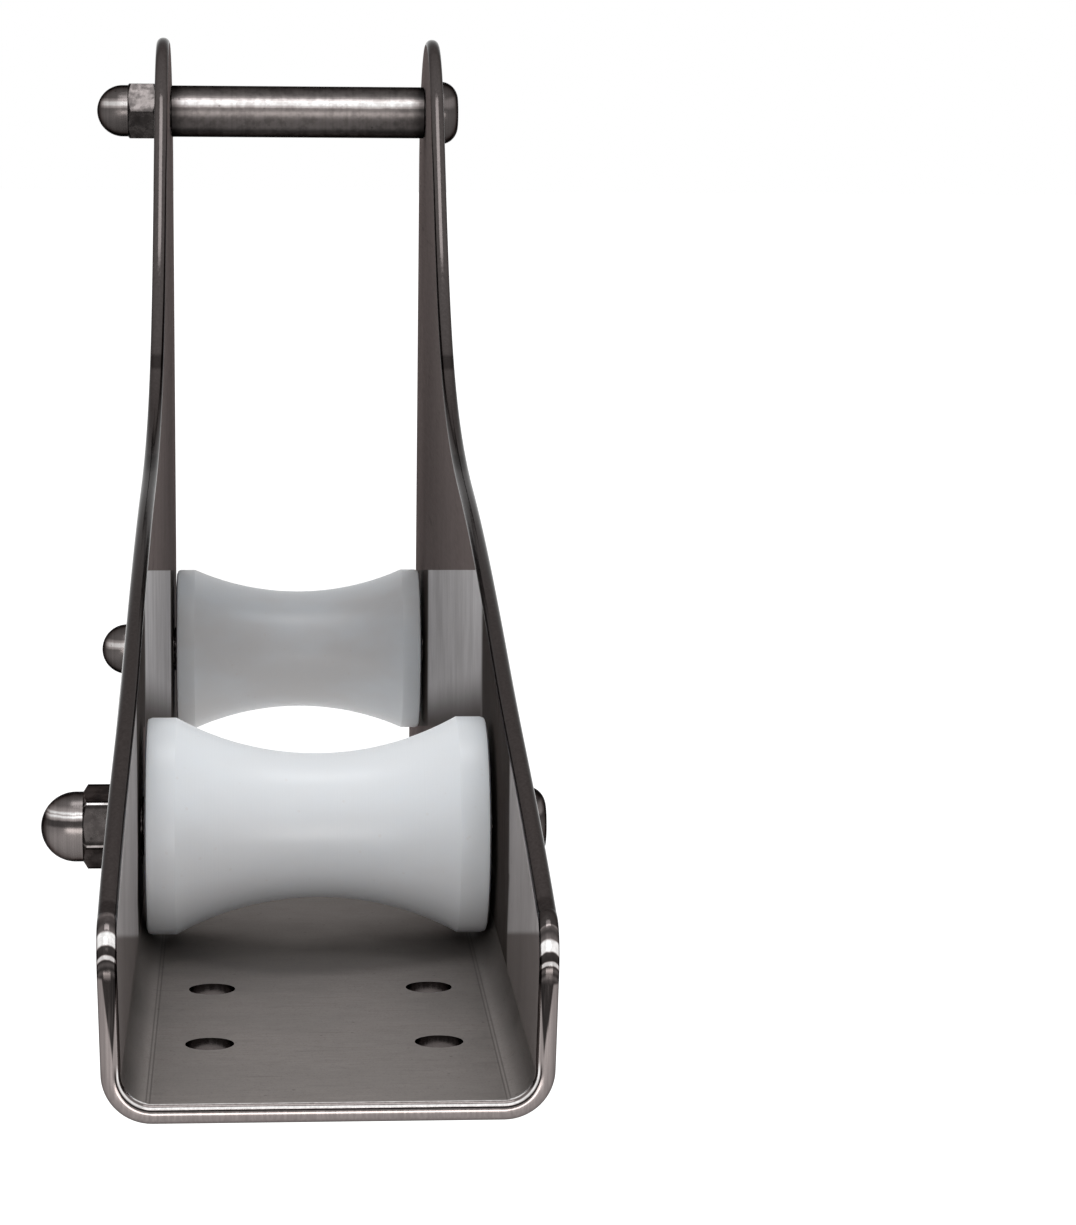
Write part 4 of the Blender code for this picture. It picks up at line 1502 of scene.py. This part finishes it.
@dataclass
class FastenerSet:
    """One cross bolt with its head, its washer if it has one, and its domed nut."""

    name: str
    centre: Vector
    turn: float
    bolt: str
    nut: str
    washer: str | None = None
    shank: float = 0.0050
    head_radius: float = 0.00875
    head_height: float = 0.0060
    head_rim: float = 0.0012
    socket: float = 0.0060
    socket_depth: float = 0.0032
    nut_across: float = 0.0170
    hex_height: float = 0.0088
    nut_height: float = 0.0185
    dome: float = 0.0080
    bore_depth: float = 0.0130
    washer_radius: float = 0.0100
    washer_thickness: float = 0.0020
    end_gap: float = 0.0010
    end_ease: float = 0.0006
    socket_land: float = 0.7
    dome_steps: int = 24
    crown_steps: int = 16
    # Painted reflection and highlight tones: the dome and the head by how far they face upward, the hexagon
    # across each flat.
    nut_row: tuple[Flat, ...] = (
        (-1.0, 0.055), (-0.75, 0.12), (-0.15, 0.155), (0.10, 0.13), (0.20, 0.045), (0.31, 0.045),
        (0.38, 0.30), (0.45, 0.78), (0.49, 0.36), (0.53, 0.72), (0.60, 0.24), (0.74, 0.11), (1.0, 0.06),
    )
    hex_row: tuple[Flat, ...] = (
        (-1.0, 0.065), (0.45, 0.052), (0.72, 0.020), (0.86, 0.016), (0.925, 0.45), (1.0, 0.52),
    )
    head_row: tuple[Flat, ...] = (
        (-1.0, 0.04), (-0.5, 0.065), (0.15, 0.075), (0.30, 0.045), (0.42, 0.17), (0.55, 0.14), (0.70, 0.05),
        (1.0, 0.04),
    )

    def finish(self, kind: str, row: tuple[Flat, ...], hexed: bool = False) -> TurnedSteelFinish:
        """Return the finish of one fastener.

        Args:
            kind: Which fastener it is for.
            row: Its tones by how far it faces upward.
            hexed: Whether it has a hexagon.

        Returns:
            The finish.
        """
        return TurnedSteelFinish(
            f"{self.name}_{kind}_steel", self.centre, row, side_tone=0.07, lines=2200.0,
            hexed=hexed, hex_turn=self.turn, hex_row=self.hex_row,
        )

    def build_nut(self) -> bpy.types.Object:
        """Make, dress and seat the domed nut on the port cheek.

        Returns:
            The piece.
        """
        face = -(HALF_OUTER + SEAT_GAP)
        flat = self.nut_across / 2

        def side(height: float, slant: float) -> Ring:
            """Return a ring of the hexagon, drawn back at its corners."""
            def ring(angle: float) -> Flat:
                """Return the ring's X and radius."""
                radius = hex_radius(angle, self.nut_across, self.turn)
                return face - height + slant * (radius - flat), radius
            return ring

        crown = self.nut_height - self.dome
        deep, shoulder = face - self.bore_depth, face - self.hex_height
        rings = round_rings((deep, 0.0), (deep, BORE_RADIUS), (face, BORE_RADIUS), (face, flat - 0.0002))
        rings += [side(0.0003, -0.45), side(self.hex_height - 0.0003, 0.60)]
        rings += round_rings((shoulder, flat - 0.0004), (shoulder, self.dome))
        rings += round_rings(*arc((face - crown, 0.0), self.dome, QUARTER, math.pi, self.dome_steps))
        item = revolve(self.name + "_domed_nut", rings, self.centre, closed=False)
        finish = self.finish("nut", self.nut_row, hexed=True)
        return finish_piece(item, self.nut, "frame", [finish.build()])

    def build_bolt(self) -> bpy.types.Object:
        """Make, dress and seat the button head bolt.

        Returns:
            The piece.
        """
        under = HALF_OUTER + SEAT_GAP + (SEAT_GAP + self.washer_thickness if self.washer else 0.0)
        top = under + self.head_height
        floor = top - self.socket_depth
        end = -(HALF_OUTER + SEAT_GAP + self.bore_depth - self.end_gap)
        land = self.socket * self.socket_land

        def socket_ring(x: float) -> Ring:
            """Return a ring of the hexagon socket."""
            return lambda angle: (x, hex_radius(angle, self.socket, self.turn, 0.0001))

        rings = [*round_rings((floor - self.end_ease, 0.0)), socket_ring(floor), socket_ring(top - 0.0002)]
        rings += round_rings((top, land))
        rise = self.head_height - self.head_rim
        for x, y in arc((0.0, 0.0), 1.0, QUARTER, 0.0, self.crown_steps)[1:]:
            rings += round_rings((under + self.head_rim + rise * y, land + (self.head_radius - land) * x))
        rings += round_rings(
            (under + 0.0002, self.head_radius), (under, self.head_radius - 0.0002), (under, self.shank),
            (end + self.end_ease, self.shank), (end, self.shank - self.end_ease), (end, 0.0),
        )
        item = revolve(self.name + "_button_bolt", rings, self.centre, closed=False)
        finish = self.finish("bolt", self.head_row)
        return finish_piece(item, self.bolt, "frame", [finish.build()])

    def build_washer(self) -> bpy.types.Object:
        """Make, dress and seat the flat washer under the head.

        Returns:
            The piece.
        """
        near = HALF_OUTER + SEAT_GAP
        rings = hollow_rings(near + self.washer_thickness, near, self.washer_radius)
        item = revolve(self.name + "_flat_washer", rings, self.centre, closed=True)
        finish = self.finish("washer", self.head_row)
        return finish_piece(item, self.washer, "frame", [finish.build()])

    def build(self) -> None:
        """Make the whole set."""
        self.build_bolt()
        self.build_nut()
        if self.washer:
            self.build_washer()


@dataclass(frozen=True)
class PhotoCamera:
    """The camera, where the photograph was taken from."""

    place: Point = (-0.01431, -0.79051, 0.20307)
    yaw: float = math.radians(4.288)
    pitch: float = math.radians(8.138)
    roll: float = math.radians(0.463)
    focal_pixels: float = 3831.4
    image_height: float = 1225.0
    sensor: float = 36.0

    def build(self) -> bpy.types.Object:
        """Add the camera and look through it.

        Returns:
            The camera.
        """
        ahead = Vector((
            math.sin(self.yaw) * math.cos(self.pitch),
            math.cos(self.yaw) * math.cos(self.pitch),
            -math.sin(self.pitch),
        ))
        level = Vector((math.cos(self.yaw), -math.sin(self.yaw), 0.0))
        upright = level.cross(ahead)
        right = level * math.cos(self.roll) + upright * math.sin(self.roll)
        up = upright * math.cos(self.roll) - level * math.sin(self.roll)
        data = bpy.data.cameras.new("photo_camera")
        data.sensor_fit = "VERTICAL"
        data.sensor_height = self.sensor
        data.lens = self.focal_pixels / self.image_height * self.sensor
        data.clip_start = 0.01
        camera = placed("photo_camera", data)
        turn = Matrix((right, up, -ahead)).transposed().to_4x4()
        camera.matrix_world = Matrix.Translation(self.place) @ turn
        bpy.context.scene.camera = camera
        return camera


@dataclass(frozen=True)
class Softbox:
    """A rectangular lamp that looks at the roller."""

    name: str
    place: Point
    target: Point
    size: Flat
    radiance: float
    tint: Colour = WHITE

    def build(self) -> bpy.types.Object:
        """Add the lamp.

        Returns:
            The lamp.
        """
        data = bpy.data.lights.new(self.name, "AREA")
        data.shape = "RECTANGLE"
        data.size, data.size_y = self.size
        data.energy = math.pi * self.size[0] * self.size[1] * self.radiance
        data.color = self.tint
        lamp = placed(self.name, data)
        lamp.location = self.place
        lamp.rotation_euler = (Vector(self.target) - Vector(self.place)).to_track_quat("-Z", "Y").to_euler()
        return lamp


@dataclass(frozen=True)
class Studio:
    """The pale floor, the even surround and the lamps."""

    floor_height: float = -0.22
    floor_reach: float = 12.0
    floor_tone: float = 0.86
    ambient: float = 0.69
    floor_lift: float = 0.60

    def seen_directly(self, bench: NodeBench) -> bpy.types.NodeSocket:
        """Return 1 for rays that show the background itself: camera, glossy and transmission rays."""
        path = bench.add("ShaderNodeLightPath")
        shown = bench.most(path.outputs["Is Camera Ray"], path.outputs["Is Glossy Ray"])
        return bench.most(shown, path.outputs["Is Transmission Ray"])

    def shown_level(self, bench: NodeBench, unseen: float, seen: float) -> bpy.types.NodeSocket:
        """Return one strength for rays that show the background, and another for the light it gives."""
        return bench.spread(self.seen_directly(bench), (0.0, 1.0), (unseen, seen), smooth=False)

    def build_world(self) -> None:
        """Add the surround, white where it is seen."""
        world = bpy.data.worlds.new("studio")
        world.use_nodes = True
        bpy.context.scene.world = world
        bench = NodeBench(world.node_tree)
        background = world.node_tree.nodes["Background"]
        bench.feed(background.inputs["Strength"], self.shown_level(bench, self.ambient, 1.0))
        background.inputs["Color"].default_value = rgba(WHITE)

    def build_floor(self) -> bpy.types.Object:
        """Add the floor.

        Returns:
            The floor.
        """
        mesh = bpy.data.meshes.new("studio_floor")
        signs = ((-1, -1), (1, -1), (1, 1), (-1, 1))
        corners = [(x * self.floor_reach, y * self.floor_reach, self.floor_height) for x, y in signs]
        mesh.from_pydata(corners, [], [(0, 1, 2, 3)])
        floor = placed("studio_floor", mesh)
        material, bench, shader = new_material("studio_floor")
        shader.inputs["Base Color"].default_value = rgba((self.floor_tone,) * 3)
        shader.inputs["Roughness"].default_value = 0.9
        shader.inputs["Specular IOR Level"].default_value = 0.0
        shader.inputs["Emission Color"].default_value = rgba(WHITE)
        bench.feed(shader.inputs["Emission Strength"], self.shown_level(bench, 0.0, self.floor_lift))
        mesh.materials.append(material)
        return floor

    def lamps(self) -> list[Softbox]:
        """Return a window and a strip behind the camera, a low warm fill and a lamp over the bow."""
        return [
            Softbox("window", (-0.25, -0.90, 1.25), (0.0, 0.20, 0.03), (1.1, 1.3), 0.30, (0.96, 0.98, 1.0)),
            Softbox("strip", (0.05, -0.86, 1.02), (0.0, 0.074, 0.03), (0.60, 0.08), 2.4),
            Softbox("fill", (0.0, -1.60, -0.02), (0.0, 0.20, 0.02), (2.2, 0.38), 5.6, (1.0, 0.985, 0.97)),
            Softbox("fore", (0.0, 0.12, 0.80), (0.0, 0.4335, 0.016), (0.45, 0.25), 4.0, (0.97, 0.985, 1.0)),
        ]

    def build(self) -> None:
        """Set the studio up."""
        self.build_world()
        self.build_floor()
        for lamp in self.lamps():
            lamp.build()
        bpy.context.scene.view_settings.view_transform = "Standard"


def build_tubes() -> None:
    """Make the guard tube between the horns and the sleeves that the rollers turn on."""
    # Painted reflections on the guard tube: dark at the bottom and top, mid grey below the middle and a
    # bright band above it.
    row = (
        (-1.0, 0.03), (-0.80, 0.035), (-0.55, 0.085), (-0.05, 0.10), (0.08, 0.085), (0.14, 0.11),
        (0.20, 0.28), (0.30, 0.48), (0.40, 0.48), (0.48, 0.25), (0.55, 0.085), (0.64, 0.055), (1.0, 0.045),
    )
    satin = TurnedSteelFinish(
        "bail_tube_satin", BAIL_AXIS, row, gloss=(0.37, 0.40), lines=900.0, fade=(0.0345, 0.0397)
    )
    ClampedTube("bail_tube", BAIL_AXIS, 0.0160, Slot.SATIN, satin).build()
    # Painted highlight band on the dark sleeves.
    row = ((-1.0, 0.015), (0.2, 0.02), (0.35, 0.16), (0.5, 0.02))
    for name, place in (("aft_axle_sleeve", AFT_AXLE), ("fore_axle_sleeve", FORE_AXLE)):
        dark = TurnedSteelFinish(name + "_steel", place, row, side_tone=0.02, gloss=(0.22, 0.40))
        ClampedTube(name, place, 0.0140, Slot.SLEEVE, dark).build()


def build_rollers() -> None:
    """Make the two nylon rollers; the fore one is greyer and more stained."""
    aft = NylonFinish("nylon_of_aft_roller", AFT_AXLE, staining=0.10)
    grey, brown = (0.72, 0.75, 0.78), (0.56, 0.48, 0.42)
    fore = NylonFinish("nylon_of_fore_roller", FORE_AXLE, tone=grey, stain=brown, staining=0.30)
    HourglassRoller("aft_roller", AFT_AXLE, 0.0495, 0.0330, 0.0068, aft).build()
    HourglassRoller("fore_roller", FORE_AXLE, 0.0510, 0.0370, 0.0058, fore).build()


def build_fasteners() -> None:
    """Make the three cross bolts with their heads, washers and domed nuts."""
    # Softer painted reflections and highlights for the fore and bail fasteners.
    bail_nut = (
        (-1.0, 0.03), (-0.5, 0.055), (-0.1, 0.085), (0.08, 0.09), (0.17, 0.26), (0.25, 0.52), (0.33, 0.52),
        (0.42, 0.22), (0.52, 0.085), (1.0, 0.06),
    )
    bail_hex = ((-1.0, 0.085), (0.60, 0.080), (0.90, 0.062), (1.0, 0.075))
    bail_head = (
        (-1.0, 0.04), (-0.4, 0.06), (0.10, 0.075), (0.25, 0.16), (0.36, 0.16), (0.52, 0.07), (1.0, 0.05),
    )
    FastenerSet(
        "aft", AFT_AXLE, math.radians(17), "aft_axle_bolt", "aft_acorn_nut", "aft_head_washer"
    ).build()
    FastenerSet(
        "fore", FORE_AXLE, math.radians(12), "fore_axle_bolt", "fore_acorn_nut", "fore_head_washer",
        nut_row=bail_nut,
    ).build()
    FastenerSet(
        "bail", BAIL_AXIS, 0.0, "bail_bolt", "bail_acorn_nut", nut_row=bail_nut, hex_row=bail_hex,
        head_row=bail_head, head_radius=0.0098, head_rim=0.0005,
    ).build()


def main() -> None:
    """Build the camera, the studio and every piece."""
    logging.basicConfig(level=logging.INFO, format="%(name)s: %(message)s")
    PhotoCamera().build()
    Studio().build()
    ChannelFrame().build()
    build_rollers()
    build_tubes()
    build_fasteners()


if __name__ == "__main__":
    main()
